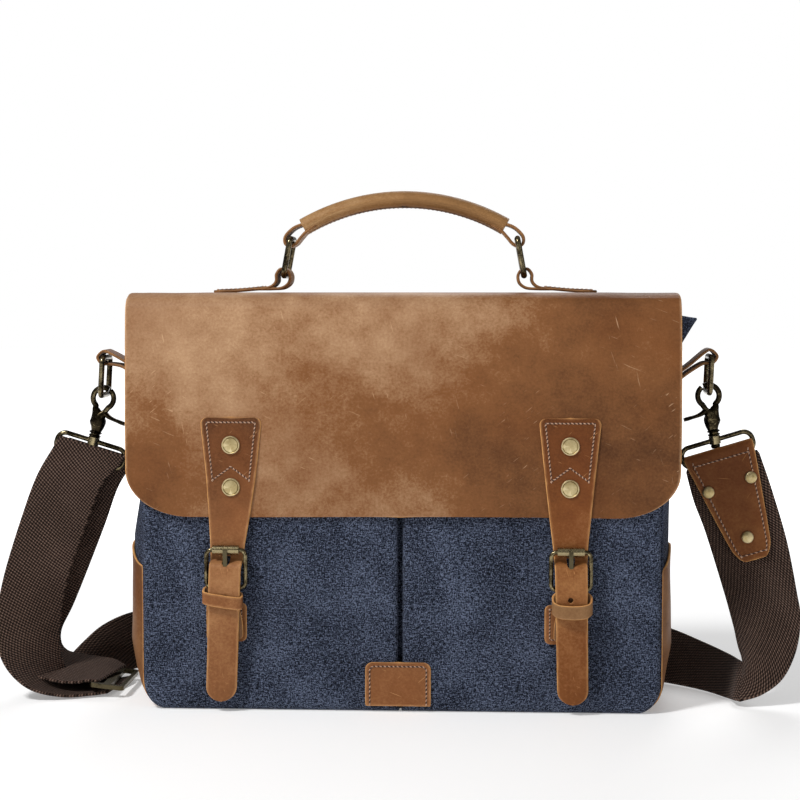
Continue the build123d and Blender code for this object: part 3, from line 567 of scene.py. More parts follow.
def tube(name, path, radius, mat, sides=10, flat=1.0):
    """A bar or cord along a path, round, or flattened one way by flat."""
    p = np.array(path, float)
    t = unit(np.gradient(p, axis=0))
    guide = np.array([0.0, 1.0, 0.0]) if abs(t[:, 1]).mean() < 0.8 else np.array([0.0, 0.0, 1.0])
    side = unit(np.cross(t, guide))
    up = unit(np.cross(side, t))
    r = np.broadcast_to(radius, (len(p),))[:, None, None]
    angle = np.linspace(0, 2 * math.pi, sides, endpoint=False)
    ring = side[:, None, :] * np.cos(angle)[None, :, None]
    ring = ring + up[:, None, :] * (np.sin(angle) * flat)[None, :, None]
    verts = p[:, None, :] + ring * r
    rows = len(p)
    index = np.arange(rows * sides).reshape(rows, sides)
    faces = []
    for i in range(rows - 1):
        for j in range(sides):
            m = (j + 1) % sides
            faces.append((index[i, j], index[i, m], index[i + 1, m], index[i + 1, j]))
    faces += [tuple(index[0][::-1]), tuple(index[-1])]
    turn = np.repeat(angle[None] * np.mean(radius), rows, 0)
    uv = np.stack([turn, np.repeat(steps_along(p)[:, None], sides, 1)], axis=2)
    return link(name, verts.reshape(-1, 3), faces, [mat], None, uv.reshape(-1, 2), None, 50)


STITCH_SLANT, STITCH_SIDES = 0.35, 6
# (place along the stitch, share of the full radius)
STITCH_STATIONS = ((-0.5, 0.0), (-0.42, 0.75), (0.0, 1.0), (0.42, 0.75), (0.5, 0.0))


def stitches(name, path, normal, mat="thread", pitch=2.9, length=2.3, radius=0.46, body="root"):
    """Saddle stitches in a groove along a path, on a flat surface whose outward normal is given."""
    p = np.array(path, float)
    n = np.array(normal, float)
    run = np.linalg.norm(np.diff(p, axis=0), axis=1).sum()
    spots = resample(p, max(3, int(run / pitch) + 1))
    ahead = unit(np.gradient(spots, axis=0))
    verts, faces = [], []
    for spot, t in zip(spots, ahead):
        side = unit(np.cross(t, n))
        t = unit(t + side * STITCH_SLANT)
        side = unit(np.cross(t, n))
        base = len(verts)
        for at, fat in STITCH_STATIONS:
            bow = radius * 0.9 * (1 - (2 * at) ** 2) - radius * 0.35
            centre = spot + t * at * length + n * bow
            for k in range(STITCH_SIDES):
                a = 2 * math.pi * k / STITCH_SIDES
                verts.append(centre + (side * math.cos(a) + n * math.sin(a)) * radius * max(fat, 0.25))
        starts = [base + i * STITCH_SIDES for i in range(len(STITCH_STATIONS))]
        rings = [[start + k for k in range(STITCH_SIDES)] for start in starts]
        for ring, after in zip(rings[:-1], rings[1:]):
            for k in range(STITCH_SIDES):
                m = (k + 1) % STITCH_SIDES
                faces.append((ring[k], ring[m], after[m], after[k]))
        faces += [tuple(rings[0][::-1]), tuple(rings[-1])]
    obj = link(name, verts, faces, [mat], smooth=70)
    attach(obj, body)
    # A dark tube sunk along the stitch line shows between the stitches: painted shade in the groove and the
    # stitch holes.
    bed = resample(p, max(4, int(run / 1.5)))
    bed = bed - n * radius * 0.62
    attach(tube(name + "_groove", bed, radius * 1.25, "groove", 8), body)
    return obj


def place(obj, body, slot, *nodes):
    """Tie a finished piece to its body and the CAD nodes that it stands for. The slot argument is not used."""
    if body:
        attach(obj, body)
    if nodes:
        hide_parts(*nodes)
    return obj


SIDES = (("left", -1), ("right", 1))
FORWARD = (0, -1, 0)

# ---- Body: pockets, panels, gussets ------------------------------------------------------------
HALF_W, TOP, CORNER = 186.0, 294.0, 18.0
POCKET_Y = -62.0


def corner_drop(z, radius=CORNER):
    """How far the outline draws in at height z near the bottom corner."""
    h = np.clip(radius - z, 0, radius)
    return radius - np.sqrt(radius**2 - h**2)


def outline(inset, top):
    """The U-shaped outline from the upper left, down, across the base and up the right, as (x, z)."""
    count = 64
    r = CORNER - inset
    a = np.linspace(math.pi, 1.5 * math.pi, 14)
    left = np.stack([-HALF_W + inset + r + r * np.cos(a), inset + r + r * np.sin(a)], axis=1)
    down = np.stack([np.full(count, -HALF_W + inset), np.linspace(top, inset + r, count)], axis=1)
    base = np.stack([np.linspace(left[-1, 0], -left[-1, 0], count), np.full(count, inset)], axis=1)
    half = np.vstack([down[:-1], left])
    mirror = half[::-1] * (-1, 1)
    return np.vstack([half[:-1], base, mirror[1:]])


def pocket(side, sign):
    """One flat front pocket: a bowed face whose edges turn back to the bag."""
    top, low_part, foot_z = 195, 30, 0.4
    depth, back, outer_x, corner = 4.5, -51.0, 184.6, 17.6
    curve = low_part - (low_part - foot_z) * np.sin(np.linspace(0, math.pi / 2, 16))
    z = np.concatenate([np.linspace(top, low_part, 56), curve[1:]])
    s = np.concatenate([[0, 0.004], np.linspace(0.012, 0.988, 60), [0.996, 1.0]])
    grid = []
    for height in z:
        gap = 1.6 if height > 40 else 0.8 + 0.8 * height / 40
        low, high = gap, outer_x - corner_drop(height, corner)
        x = low + (high - low) * s
        edge = np.minimum(np.minimum(x - low, high - x), height)
        roll = np.clip(1 - edge / depth, 0, 1)
        y = POCKET_Y + depth * (1 - np.sqrt(np.clip(1 - roll**2, 0, 1)))
        y = y + 0.35 * (1 + ripple(x, height, 1.7 * sign)) * np.clip(edge / 12, 0, 1)
        row = np.stack([x, y, np.full_like(x, height)], axis=1)
        back_in, back_out = row[0].copy(), row[-1].copy()
        back_in[1] = back_out[1] = back
        back_in[0] += 0.4
        back_out[0] -= 0.6
        grid.append(np.vstack([back_in, row, back_out]))
    grid = np.array(grid)
    foot = grid[-1].copy()
    foot[:, 1] = back
    foot[:, 2] = 0.5
    grid = np.vstack([grid, foot[None]])
    if sign < 0:
        grid = grid[:, ::-1] * (-1, 1, 1)
    obj = slab(
        f"pocket_panel_{side}", grid, 1.6, ("canvas", "shaded_canvas", "shaded_canvas"), closed_rim=("top",),
    )
    return place(obj, "root", "canvas", f"pocket_{side}")


for side, sign in SIDES:
    pocket(side, sign)


def end_wall(name, y, out, node, z_top, bow):
    """The front or back canvas wall, bowed a little outwards."""
    curve = CORNER - CORNER * np.sin(np.linspace(0, math.pi / 2, 14))
    z = np.concatenate([np.linspace(z_top, CORNER, 60), curve[1:]])
    s = np.linspace(-1, 1, 80)
    grid = []
    for height in z:
        half = HALF_W - 0.5 - corner_drop(height)
        x = half * s
        upright = math.sin(math.pi * min(max(height / z_top, 0.02), 0.98)) ** 0.6
        belly = bow * np.clip((1 - s**2) * 2.4, 0, 1) * upright
        belly = belly * (1 + 0.35 * ripple(x, height, 4.0 + out, 75))
        grid.append(np.stack([x, y + out * belly, np.full_like(x, height)], axis=1))
    grid = np.array(grid)
    if out > 0:
        grid = grid[:, ::-1]
    obj = slab(name, grid, 2.0, ("canvas", "shaded_canvas", "lining"))
    return place(obj, "root", "canvas", node)


end_wall("front_wall", -49.2, -1, "front_panel", z_top=TOP - 8, bow=0.6)
end_wall("back_wall", 49.4, 1, "back_panel", z_top=TOP - 6, bow=1.2)

GUSSET_IN = 49.4


def gusset_bulge(y, z, sign):
    """How far the side wall stands out of its flat plane, with its folds."""
    along = np.clip(1 - (y / 50.0) ** 2, 0, 1) ** 0.65
    up = np.clip((z - 4) / 40.0, 0, 1) ** 0.7
    top = np.clip((TOP - 2 - z) / 60.0, 0.25, 1)
    out = 9.5 * along * up * top
    fold = 2.0 * np.exp(-(((y + 6 * np.sin(z / 46)) / 7.0) ** 2)) * np.clip((z - 120) / 90, 0, 1)
    out = out - fold + 0.8 * ripple(y * 1.6, z, 6.0 * sign, 34) * along * up
    if sign > 0:
        out = out + 29.0 * np.exp(-(((y - 18) / 15.0) ** 2)) * np.clip((z - 234) / 44.0, 0, 1.02) ** 1.2
    else:
        out = out + 9.0 * np.exp(-(((y + 10) / 16.0) ** 2)) * np.exp(-(((z - 266) / 13.0) ** 2))
        out = out + 5.5 * along * np.clip((150 - z) / 30, 0, 1) * np.clip(z / 25, 0, 1)
    return out


def side_band(name, inset, z_top, out, thick, mats, keep=None, half_deep=GUSSET_IN, slope=0.0):
    """A band round the sides and base: inset from the outline, pushed out by the side bulge."""
    path = outline(inset, z_top)
    if keep is not None:
        path = path[keep(path)]
    y = np.linspace(-half_deep, half_deep, 44)
    grid = []
    for x, z in path:
        sign = 1 if x > 0 else -1
        share = min(max((abs(x) - (HALF_W - CORNER)) / 12.0, 0), 1)
        arch = slope * np.clip(1 - (np.abs(y) / 50) ** 2, 0, 1) if z > 60 else 0 * y
        crest = 18.0 if sign > 0 else -10.0
        raised = 1 - np.exp(-(((y - crest) / 17.0) ** 2))
        zz = z + arch + 7.0 * raised * min(max((z - 235) / 44.0, 0), 1)
        bulge = gusset_bulge(y, np.maximum(zz, 0), sign) * share + out
        grid.append(np.stack([x + sign * bulge * (1 if share else 0), y, zz], axis=1))
    grid = np.array(grid)
    return slab(name, grid[:, ::-1], thick, mats)


SIDE_LEATHER_TOP = 103
band = side_band("gusset_band", 1.4, TOP - 15, 0.0, 2.0, ("shaded_canvas", "canvas", "lining"))
place(band, "root", "canvas", "gusset_left", "gusset_right", "bottom_panel")
for side, sign in SIDES:
    keep = (lambda p, s=sign: (p[:, 0] * s > 160) & (p[:, 1] < SIDE_LEATHER_TOP))
    mats = ("base", "edge", "suede")
    patch = side_band(f"side_leather_{side}", 0.0, SIDE_LEATHER_TOP, 0.9, 1.6, mats, keep, 51.5, 12.0)
    place(patch, "root", "strap_leather", f"side_leather_{side}")

for name, y, mat in (("front_seam", -50.4, "shaded_canvas"), ("back_seam", 49.9, "shaded_canvas")):
    path = outline(0.6, TOP - 9)
    seam = tube(name, np.stack([path[:, 0], np.full(len(path), y), path[:, 1] + 1.1], axis=1), 1.5, mat)
    place(seam, "root", "canvas")

# Lining and divider. The board keeps its CAD shape.
CLOTH = ("lining", "lining", "lining")
for name, y, flip in (("lining_front", -46.6, 1), ("lining_back", 46.6, -1)):
    zs = np.linspace(TOP - 12, 8, 30)
    xs = np.linspace(-178.5, 178.5, 40)
    gx, gz = np.meshgrid(xs, zs)
    grid = np.stack([gx, y + 0.5 * ripple(gx, gz, 3 * flip), gz], axis=2)
    if flip > 0:
        grid = grid[:, ::-1]
    place(slab(name, grid, 0.8, CLOTH), "root", "lining", *(["lining"] if flip > 0 else []))
path = outline(6.2, TOP - 12)
ys = np.linspace(-46.8, 46.8, 24)
across = np.repeat(ys[None], len(path), 0)
grid = np.stack([np.repeat(path[:, :1], len(ys), 1), across, np.repeat(path[:, 1:], len(ys), 1)], axis=2)
place(slab("lining_band", grid[:, ::-1], 0.8, CLOTH), "root", "lining")


def padded_divider():
    """A padded sheet with a bound edge, standing behind the middle of the bag."""
    top, foot, half_wide, y, corner, soft = 231.5, 8.5, 174.5, 20, 12, 14.0
    s = np.linspace(-1, 1, 60)
    t = np.linspace(1, 0, 44)
    halves = []
    for out in (-1, 1):
        grid = []
        for v in t:
            z = foot + (top - foot) * v
            half = half_wide - corner_cut(top - z, corner)
            x = half * s
            edge = np.minimum(np.minimum(half - np.abs(x), top - z), soft) / soft
            swell = 0.6 + 2.3 * np.sqrt(np.clip(edge, 0, 1))
            grid.append(np.stack([x, y + out * swell, np.full_like(x, z)], axis=1))
        grid = np.array(grid)
        halves.append(grid if out < 0 else grid[:, ::-1])
    place(slab("divider_front", halves[0], 0.5, CLOTH), "root", "lining", "divider")
    place(slab("divider_rear", halves[1], 0.5, CLOTH), "root", "lining")
    left = [(-half_wide, y, 9), (-half_wide, y, 219), (-171, y, 228), (-163, y, top)]
    right = [(-x, y, z) for x, y, z in left[::-1]]
    place(tube("divider_binding", resample(left + right, 120), 1.9, "strap"), "root", "lining")


padded_divider()

# ---- Flap ----------------------------------------------------------------------------------------
REAR_LINE = [
    (52.2, 225), (52.6, 245), (52.8, 268), (52.4, 283), (50.2, 292.6), (44.5, 298.0), (34, 299.0),
    (17, 299.0), (0, 299.0),
]
FRONT_LINE = [
    (0, 299.0), (-20, 299.0), (-36, 298.7), (-46, 297.0), (-52.4, 292.2), (-55.4, 285), (-57.6, 268),
    (-60.8, 240), (-63.6, 213), (-64.6, 200), (-64.7, 180), (-64.7, 160), (-64.7, 140),
]
REAR_FLAT = spline(REAR_LINE, 400)
FRONT_FLAT = spline(FRONT_LINE, 600)


REAR_RUN, FRONT_RUN = run_of(REAR_FLAT), run_of(FRONT_FLAT)


def flap_half(name, line, run, start, end_corner, rows):
    """Half of the flap leather, cut across the middle of the top. start is its first row's place along the
    whole flap, and end_corner is the (width, height) of the rounded lower corners, on the front half."""
    dist = spaced(run, rows, foot=(end_corner[1], 18) if end_corner else (0, 1))
    steps = steps_along(line)
    s = np.concatenate([[-1, -0.9975], np.linspace(-0.992, 0.992, 110), [0.9975, 1]])
    grid, uvs = [], []
    for d in dist:
        y, z = np.interp(d, steps, line[:, 0]), np.interp(d, steps, line[:, 1])
        left = 195.6 + 0.9 * math.sin(d / 60 + 1) if end_corner else 195.2
        right = 196.4 + 1.2 * math.sin(d / 75 + 0.4) if end_corner else 195.8
        cut = 0.0
        if end_corner:
            h = min(max(1 - (run - d) / end_corner[1], 0), 1)
            cut = end_corner[0] * (1 - math.sqrt(max(1 - h * h, 0)))
        x = np.where(s < 0, s * (left - cut), s * (right - cut))
        yy = np.full_like(x, y)
        zz = np.full_like(x, z)
        if z < 285 and y < 0:
            free = min((285 - z) / 40, 1)
            wave = 0.55 * (1 + ripple(x, z, 2.2, 70)) * free
            near_strap = np.minimum(np.abs(x - 120), np.abs(x + 120))
            wave = wave * np.clip((near_strap - 16) / 22, 0.0, 1) if z < 216 else wave * 0.5
            lift = 1.6 * np.clip((np.abs(x) - 150) / 46, 0, 1) ** 2 * np.clip((215 - z) / 60, 0, 1)
            yy = yy - wave - lift
            zz = zz + 0.6 * np.sin(x / 61 + 0.7) * np.clip((160 - z) / 20, 0, 1)
        elif z > 296:
            sag = 0.35 * (1 + ripple(x, y, 5.1, 55)) * np.clip((np.abs(x) - 145) / 20, 0, 1)
            zz = zz - sag - 0.15
        else:
            yy = yy + 0.3 * (1 + ripple(x, z, 3.3, 60)) * np.clip((292 - z) / 20, 0, 1) - 0.1
        grid.append(np.stack([x, yy, zz], axis=1))
        uvs.append(np.stack([x, np.full_like(x, start - d)], axis=1))
    cut, free = ("top", "bottom") if end_corner else ("bottom", "top")
    return slab(name, grid, 2.2, ("flap", "edge", "suede"), ("left", "right", free), uvs=uvs, butt=(cut,))


flap_front = flap_half("flap_leather_front", FRONT_FLAT, FRONT_RUN, FRONT_RUN, (45.0, 32.0), 110)
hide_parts("flap_front", "flap_top")
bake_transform(flap_front)
flap_rear = flap_half("flap_leather_rear", REAR_FLAT, REAR_RUN, REAR_RUN + FRONT_RUN, None, 60)
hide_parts("flap_back")
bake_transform(flap_rear)

# ---- Closure straps --------------------------------------------------------------------------------
LEAN = {"left": (-7.4, -3.2, -2.6, -1.3, 0, 0), "right": (2.6, 0.8, 0.5, 0.2, 0, 0)}
STRAP_X = 120.0
BUCKLE_X = {"left": -123.2, "right": 120.7}
STRAP_LINE = [
    (-65.0, 210.5), (-65.9, 203), (-66.4, 190), (-66.5, 160), (-66.5, 141), (-66.6, 128), (-66.9, 117),
    (-67.3, 111.6), (-69.8, 108.9), (-73.6, 107.8), (-75.8, 105.2), (-76.4, 101), (-76.6, 94),
    (-76.4, 86), (-75.6, 76), (-73.8, 62), (-72.4, 48), (-71.4, 30), (-70.9, 8),
]


def strap_half(z):
    """Half the width of a closure strap at height z."""
    return float(np.interp(z, [8, 105, 120, 141, 210.5], [10.4, 10.8, 11.8, 14.2, 21.6]))


def strap_centre(side, z):
    """The strap's middle at height z, with its lean."""
    top_x = -STRAP_X if side == "left" else STRAP_X
    return top_x + float(np.interp(z, [8, 105, 120, 141, 170, 210.5], LEAN[side]))


def lathe(name, centre, profile, mat):
    """A turned cap facing -Y: profile is (radius, height) from the centre outwards."""
    sides = 40
    verts, faces = [(centre[0], centre[1] - profile[0][1], centre[2])], []
    for r, h in profile[1:]:
        for k in range(sides):
            a = 2 * math.pi * k / sides
            verts.append((centre[0] + r * math.cos(a), centre[1] - h, centre[2] + r * math.sin(a)))
    for k in range(sides):
        faces.append((0, 1 + k, 1 + (k + 1) % sides))
    for i in range(len(profile) - 2):
        for k in range(sides):
            m = (k + 1) % sides
            near, far = 1 + i * sides, 1 + (i + 1) * sides
            faces.append((near + k, far + k, far + m, near + m))
    faces.append(tuple(1 + (len(profile) - 2) * sides + k for k in range(sides)))
    return link(name, verts, faces, [mat], smooth=32)


def notch(obj, outline_xz, top_mat):
    """Cut a prism, given by its outline in x and z, right through a closure strap."""
    n = len(outline_xz)
    front, back = -90, -60
    verts = [(x, front, z) for x, z in outline_xz] + [(x, back, z) for x, z in outline_xz]
    faces = [tuple(range(n)), tuple(range(2 * n - 1, n - 1, -1))]
    faces += [(i, n + i, n + (i + 1) % n, (i + 1) % n) for i in range(n)]
    cutter = link("cutter", verts, faces, [top_mat, "edge"], [1] * len(faces))
    shape = bmesh.new()
    shape.from_mesh(cutter.data)
    bmesh.ops.recalc_face_normals(shape, faces=shape.faces)
    shape.to_mesh(cutter.data)
    shape.free()
    cut = obj.modifiers.new("cut", "BOOLEAN")
    cut.object, cut.operation, cut.solver = cutter, "DIFFERENCE", "EXACT"
    bpy.context.view_layer.update()
    shaped = bpy.data.meshes.new_from_object(obj.evaluated_get(bpy.context.evaluated_depsgraph_get()))
    obj.modifiers.clear()
    obj.data = shaped
    bpy.data.objects.remove(cutter)


# Turned profile of a flap rivet's cap: (radius, height)
RIVET_CAP = [(0, 1.15), (3.0, 1.1), (4.9, 0.95), (5.1, 0.75), (5.35, 0.95), (5.7, 1.35), (6.1, 1.3)]
RIVET_CAP += [(6.45, 0.9), (6.5, 0.3), (6.3, -0.2)]
RIVET_Y = -66.55


def closure_strap(side, sign):
    """A strap with rounded upper corners and a round tip, its prong slot and hole, rivets and stitching."""
    corner, tip_radius = 5, 10.4
    finish = "strap" if sign < 0 else "strap_red"
    line = spline(STRAP_LINE, 260)
    steps = steps_along(line)
    total = steps[-1]
    s = np.concatenate([[-1, -0.97], np.linspace(-0.92, 0.92, 21), [0.97, 1]])
    grid = []
    for d in spaced(total, 120, (corner, 7), (tip_radius, 14)):
        y, z = np.interp(d, steps, line[:, 0]), np.interp(d, steps, line[:, 1])
        half = strap_half(z) - corner_cut(d, corner)
        tip = total - d
        if tip < tip_radius:
            half = tip_radius * math.sqrt(max(1 - (1 - tip / tip_radius) ** 2, 0)) + 0.02
        x = strap_centre(side, z) + half * s
        cup = 0.35 * (s**2) * np.clip((100 - z) / 30, 0, 1) + 0.12 * np.sin(z / 9 + sign)
        grid.append(np.stack([x, y + cup, np.full_like(x, z)], axis=1))
    obj = slab(f"closure_leather_{side}", np.array(grid), 2.0, (finish, "edge", "suede"))
    bx, hole_z, hole_radius = BUCKLE_X[side], 83.5, 1.9
    slot = [(-3.0, 112), (3.0, 112), (2.6, 107.4), (1.1, 105.4), (-1.1, 105.4), (-2.6, 107.4)]
    notch(obj, [(bx + x, z) for x, z in slot], finish)
    turns = [k * math.pi / 8 for k in range(16)]
    hole = [(bx - 0.3 + hole_radius * math.cos(a), hole_z + hole_radius * math.sin(a)) for a in turns]
    notch(obj, hole, finish)
    place(obj, "flap_front", "strap_leather", f"closure_strap_{side}")
    zs = np.linspace(207.0, 166.0, 30)
    middle, inset = sign * STRAP_X, 3.8
    left = [(middle - strap_half(z) + inset, z) for z in zs]
    right = [(middle + strap_half(z) - inset, z) for z in zs]
    chevron = [(left[-1][0], zs[-1]), (middle, 175.5), (right[-1][0], zs[-1])]
    for height, z in (("upper", 191.0), ("lower", 161.0)):
        rivet = lathe(f"flap_rivet_{side}_{height}", (middle, RIVET_Y, z), RIVET_CAP, "rivet_brass")
        stands_for = ["flap_rivets"] if sign < 0 and height == "upper" else []
        place(rivet, "flap_front", "rivet_brass", *stands_for)

    def on_strap(points):
        front = [float(np.interp(-z, -line[:, 1], line[:, 0])) for _, z in points]
        return [(x, y + 0.12 * math.sin(z / 9 + sign), z) for (x, z), y in zip(points, front)]

    side_name, chevron_name = f"closure_stitch_side_{side}", f"closure_stitch_chevron_{side}"
    stitches(side_name, on_strap(left[::-1] + right), FORWARD, body="flap_front", pitch=2.8)
    stitches(chevron_name, on_strap(chevron), FORWARD, body="flap_front", pitch=2.6, length=2.1)


# Each keeper: middle x, y, z, half depth, tilt, droop at the front, half height, squareness across and deep
KEEPERS = {
    "left": (-125.2, -73.9, 82.7, 5.2, -2.05, 1.7, 4.1, 0.5, 0.45, "strap"),
    "right": (121.6, -74.2, 80.0, 6.0, 0.0, 4.8, 4.4, 0.8, 0.75, "keeper"),
}
CHAPE_LINE = [(-68.3, 52), (-68.5, 62), (-68.7, 74), (-69.4, 85), (-72.6, 93.2), (-74.0, 90), (-72.0, 86.6)]
PATCH_Y = -63.7


def keeper(side):
    """A band of leather round the strap, drooping at the front."""
    kx, ky, kz, deep, tilt, droop, tall, square_x, square_y, finish = KEEPERS[side]
    grid = []
    for v in np.linspace(1, -1, 8):
        row = []
        for t in np.linspace(0, 2 * math.pi, 73):
            c, sn = math.cos(t), math.sin(t)
            x = 14.3 * math.copysign(abs(c) ** square_x, c)
            y = deep * math.copysign(abs(sn) ** square_y, sn)
            row.append((kx + x, ky + y, kz + tall * v + tilt * x / 14 + droop * y / deep))
        grid.append(row)
    obj = slab(f"keeper_band_{side}", grid, 1.6, (finish, "edge", "suede"), ("top", "bottom"))
    place(obj, "flap_front", "strap_leather", f"strap_keeper_{side}")


def chape_half(t):
    """Half width of the leather behind a buckle: rounded at its foot, narrower in the buckle."""
    return 8.2 + 3.3 * math.exp(-((t / 0.42) ** 4)) - corner_cut(t * 62, 5.0)


def chape(side):
    path = spline([(BUCKLE_X[side], y, z) for y, z in CHAPE_LINE], 60)
    obj = strip(f"chape_{side}", path, chape_half, (1, 0, 0), 1.3, ("base", "edge", "suede"))
    place(obj, "flap_front", "strap_leather", f"buckle_chape_{side}")


def limits(node):
    """A node's box in millimetres, as x0, x1, z0, z1."""
    low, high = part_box(node)
    return low.x / MM, high.x / MM, low.z / MM, high.z / MM


def patch(name, node, y, thick, rows, cols, head, foot=(0, 1)):
    """A flat leather patch that fills its node's box, with rounded upper or lower corners."""
    x0, x1, z0, z1 = limits(node)
    tall = z1 - z0
    grid = []
    for d in spaced(tall, rows, head, foot):
        cut = corner_cut(min(d, tall - d) if foot[0] else d, head[0])
        x = (x0 + x1) / 2 + ((x1 - x0) / 2 - cut) * np.linspace(-1, 1, cols)
        grid.append(np.stack([x, np.full_like(x, y), np.full_like(x, z1 - d)], axis=1))
    place(slab(name, grid, thick, ("strap", "edge", "suede")), "root", "strap_leather", node)


for side, sign in SIDES:
    closure_strap(side, sign)
    keeper(side)
    chape(side)
    node = f"snap_base_{side}"
    patch(f"base_patch_{side}", node, PATCH_Y, 1.5, 26, 16, (4, 6), (4, 6))
    x0, x1, z0, z1 = limits(node)
    inset = 3.2
    loop = [
        (x0 + inset, z1 - inset), (x0 + inset, z0 + inset), (x1 - inset, z0 + inset),
        (x1 - inset, z1 - inset),
    ]
    loop = [(x, PATCH_Y, z) for x, z in loop + loop[:1]]
    stitches(f"base_stitch_{side}", resample(loop, 80), FORWARD, pitch=2.5, length=1.9)

# Label patch, blank
patch("label_leather", "label_patch", -63.6, 1.4, 22, 30, (5, 7))
x0, x1, z0, z1 = limits("label_patch")
inset = 2.8
loop = [(x0 + inset, z0 + 1), (x0 + inset, z1 - 5), (x0 + 5, z1 - inset)]
loop += [(x1 - 5, z1 - inset), (x1 - inset, z1 - 5), (x1 - inset, z0 + 1)]
loop = [(x, PATCH_Y, z) for x, z in loop]
stitches("label_stitch", resample(loop, 120), FORWARD, pitch=3.0, length=2.1)

# ---- Handle ------------------------------------------------------------------------------------------
# tab: from its tip along the flap, up round the ring's lower bar and back underneath
TAB_LINE = [
    (141, 300.6), (128, 300.9), (112, 302.2), (100, 303.4), (95.0, 307.0), (94.6, 312.5), (91.0, 316.9),
    (85.6, 316.2), (82.6, 311.5), (83.6, 305.4), (89.0, 301.3), (98.0, 300.4), (110, 300.3),
]
# loop: leather round the ring's upper bar into the grip
LOOP_LINE = [
    (62, 351.6), (69, 350.6), (76, 349.4), (82.4, 346.4), (88.0, 340.4), (88.2, 334.5), (84.0, 331.6),
    (79.0, 333.6), (75.0, 338.2), (70.5, 343.0), (64, 347.4),
]
TAB_STITCH = ((137, 300.9), (120, 301.7), (104, 303.2))
FOLD_MATS = ("grip", "edge_dark", "suede")


def tab_half(t):
    """Half width of a handle tab, rounded at its tip."""
    return 11.0 * math.sqrt(max(1 - max(1 - t / 0.07, 0) ** 2, 0.02))


for side, sign in SIDES:
    path = [(sign * x, 0, z) for x, z in TAB_LINE]
    tab = strip(f"handle_tab_leather_{side}", spline(path, 110), tab_half, (0, -sign, 0), 2.1, FOLD_MATS)
    place(tab, "flap_top", "strap_leather", f"handle_tab_{side}")
    for y in (-8.2, 8.2):
        line = spline([(sign * x, y, z) for x, z in TAB_STITCH], 30)
        name = f"handle_tab_stitch_{side}_{'front' if y < 0 else 'rear'}"
        stitches(name, line, (0, 0, 1), body="flap_top", pitch=3.2)
    path = spline([(sign * x, 0, z) for x, z in LOOP_LINE], 80)
    loop = strip(f"handle_loop_leather_{side}", path, lambda t: 9.4, (0, sign, 0), 2.2, FOLD_MATS)
    place(loop, "handle_grip", "strap_leather", *(["handle_loops"] if sign < 0 else []))

GRIP_X, GRIP_RISE, GRIP_END = 74.0, 20.0, 347.0
radius = (GRIP_X**2 + GRIP_RISE**2) / (2 * GRIP_RISE)
centre_z = GRIP_END + GRIP_RISE - radius
reach = math.asin(GRIP_X / radius)
rows, sides = 90, 40
verts, uvs, faces = [], [], []
for i in range(rows):
    t = -1 + 2 * i / (rows - 1)
    a = t * reach
    centre = np.array([radius * math.sin(a), 0, centre_z + radius * math.cos(a)])
    out = np.array([math.sin(a), 0, math.cos(a)])
    swell = 1.0 + 0.05 * abs(t) ** 3
    for k in range(sides):
        b = 2 * math.pi * k / sides
        cb, sb = math.cos(b), math.sin(b)
        half_y = 10.2 * swell * (1 - (0.22 * max(-sb, 0) ** 2))
        half_z = (6.3 * sb if sb > 0 else -6.0 * abs(sb) ** 0.6) * swell
        half_z *= 1.0 - (0.14 * math.exp(-((t / 0.03) ** 2)) if sb < -0.5 else 0.0)
        verts.append(centre + out * half_z + np.array([0, -half_y * math.copysign(abs(cb) ** 0.9, cb), 0]))
        uvs.append((b * 8.2, a * radius))
for i in range(rows - 1):
    for k in range(sides):
        m = (k + 1) % sides
        faces.append((i * sides + k, i * sides + m, (i + 1) * sides + m, (i + 1) * sides + k))
for end in (0, rows - 1):
    ring = [end * sides + k for k in range(sides)]
    faces.append(ring if end else ring[::-1])
grip = link("grip_leather", verts, [tuple(f) for f in faces], ["grip"], None, uvs, None, 50)
place(grip, "handle_grip", "strap_leather", "handle_grip", "handle_core")
seam_radius, seam_reach = radius - 5.75, reach * 0.97
for end, y in (("front", -4.2), ("rear", 4.2)):
    turns = np.linspace(-seam_reach, seam_reach, 80)
    line = [(seam_radius * math.sin(a), y, centre_z + seam_radius * math.cos(a)) for a in turns]
    stitches(f"grip_stitch_{end}", line, (0, 0, -1), "grip_thread", 3.2, radius=0.35, body="handle_grip")

# ---- Side tabs ---------------------------------------------------------------------------------------
for side, sign in SIDES:
    ring_x, ring_z = (222.5, 250.5) if sign < 0 else (224.0, 252.0)
    base = 187.5
    drop = 0.0 if sign < 0 else 3.0
    path = [
        (base + 5, 204), (base + 5.2, 220), (base + 7.5, 234), (base + 11, 243 - drop),
        (base + 20, 249.6 - drop), (ring_x - 4, ring_z + 5.0), (ring_x + 1.0, ring_z + 5.7),
        (ring_x + 5.4, ring_z + 0.5), (ring_x + 1.6, ring_z - 5.2), (ring_x - 5, ring_z - 5.6),
        (base + 21, 243 - drop), (base + 13.5, 237 - drop), (base + 9.6, 228), (base + 7.6, 216),
        (base + 7.2, 207),
    ]
    path = [(sign * x, 0, z) for x, z in path]
    mats = ("base", "edge_dark", "suede")
    tab = strip(f"side_tab_leather_{side}", spline(path, 130), lambda t: 10.8, (0, sign, 0), 1.9, mats)
    place(tab, "root", "strap_leather", f"side_tab_{side}")

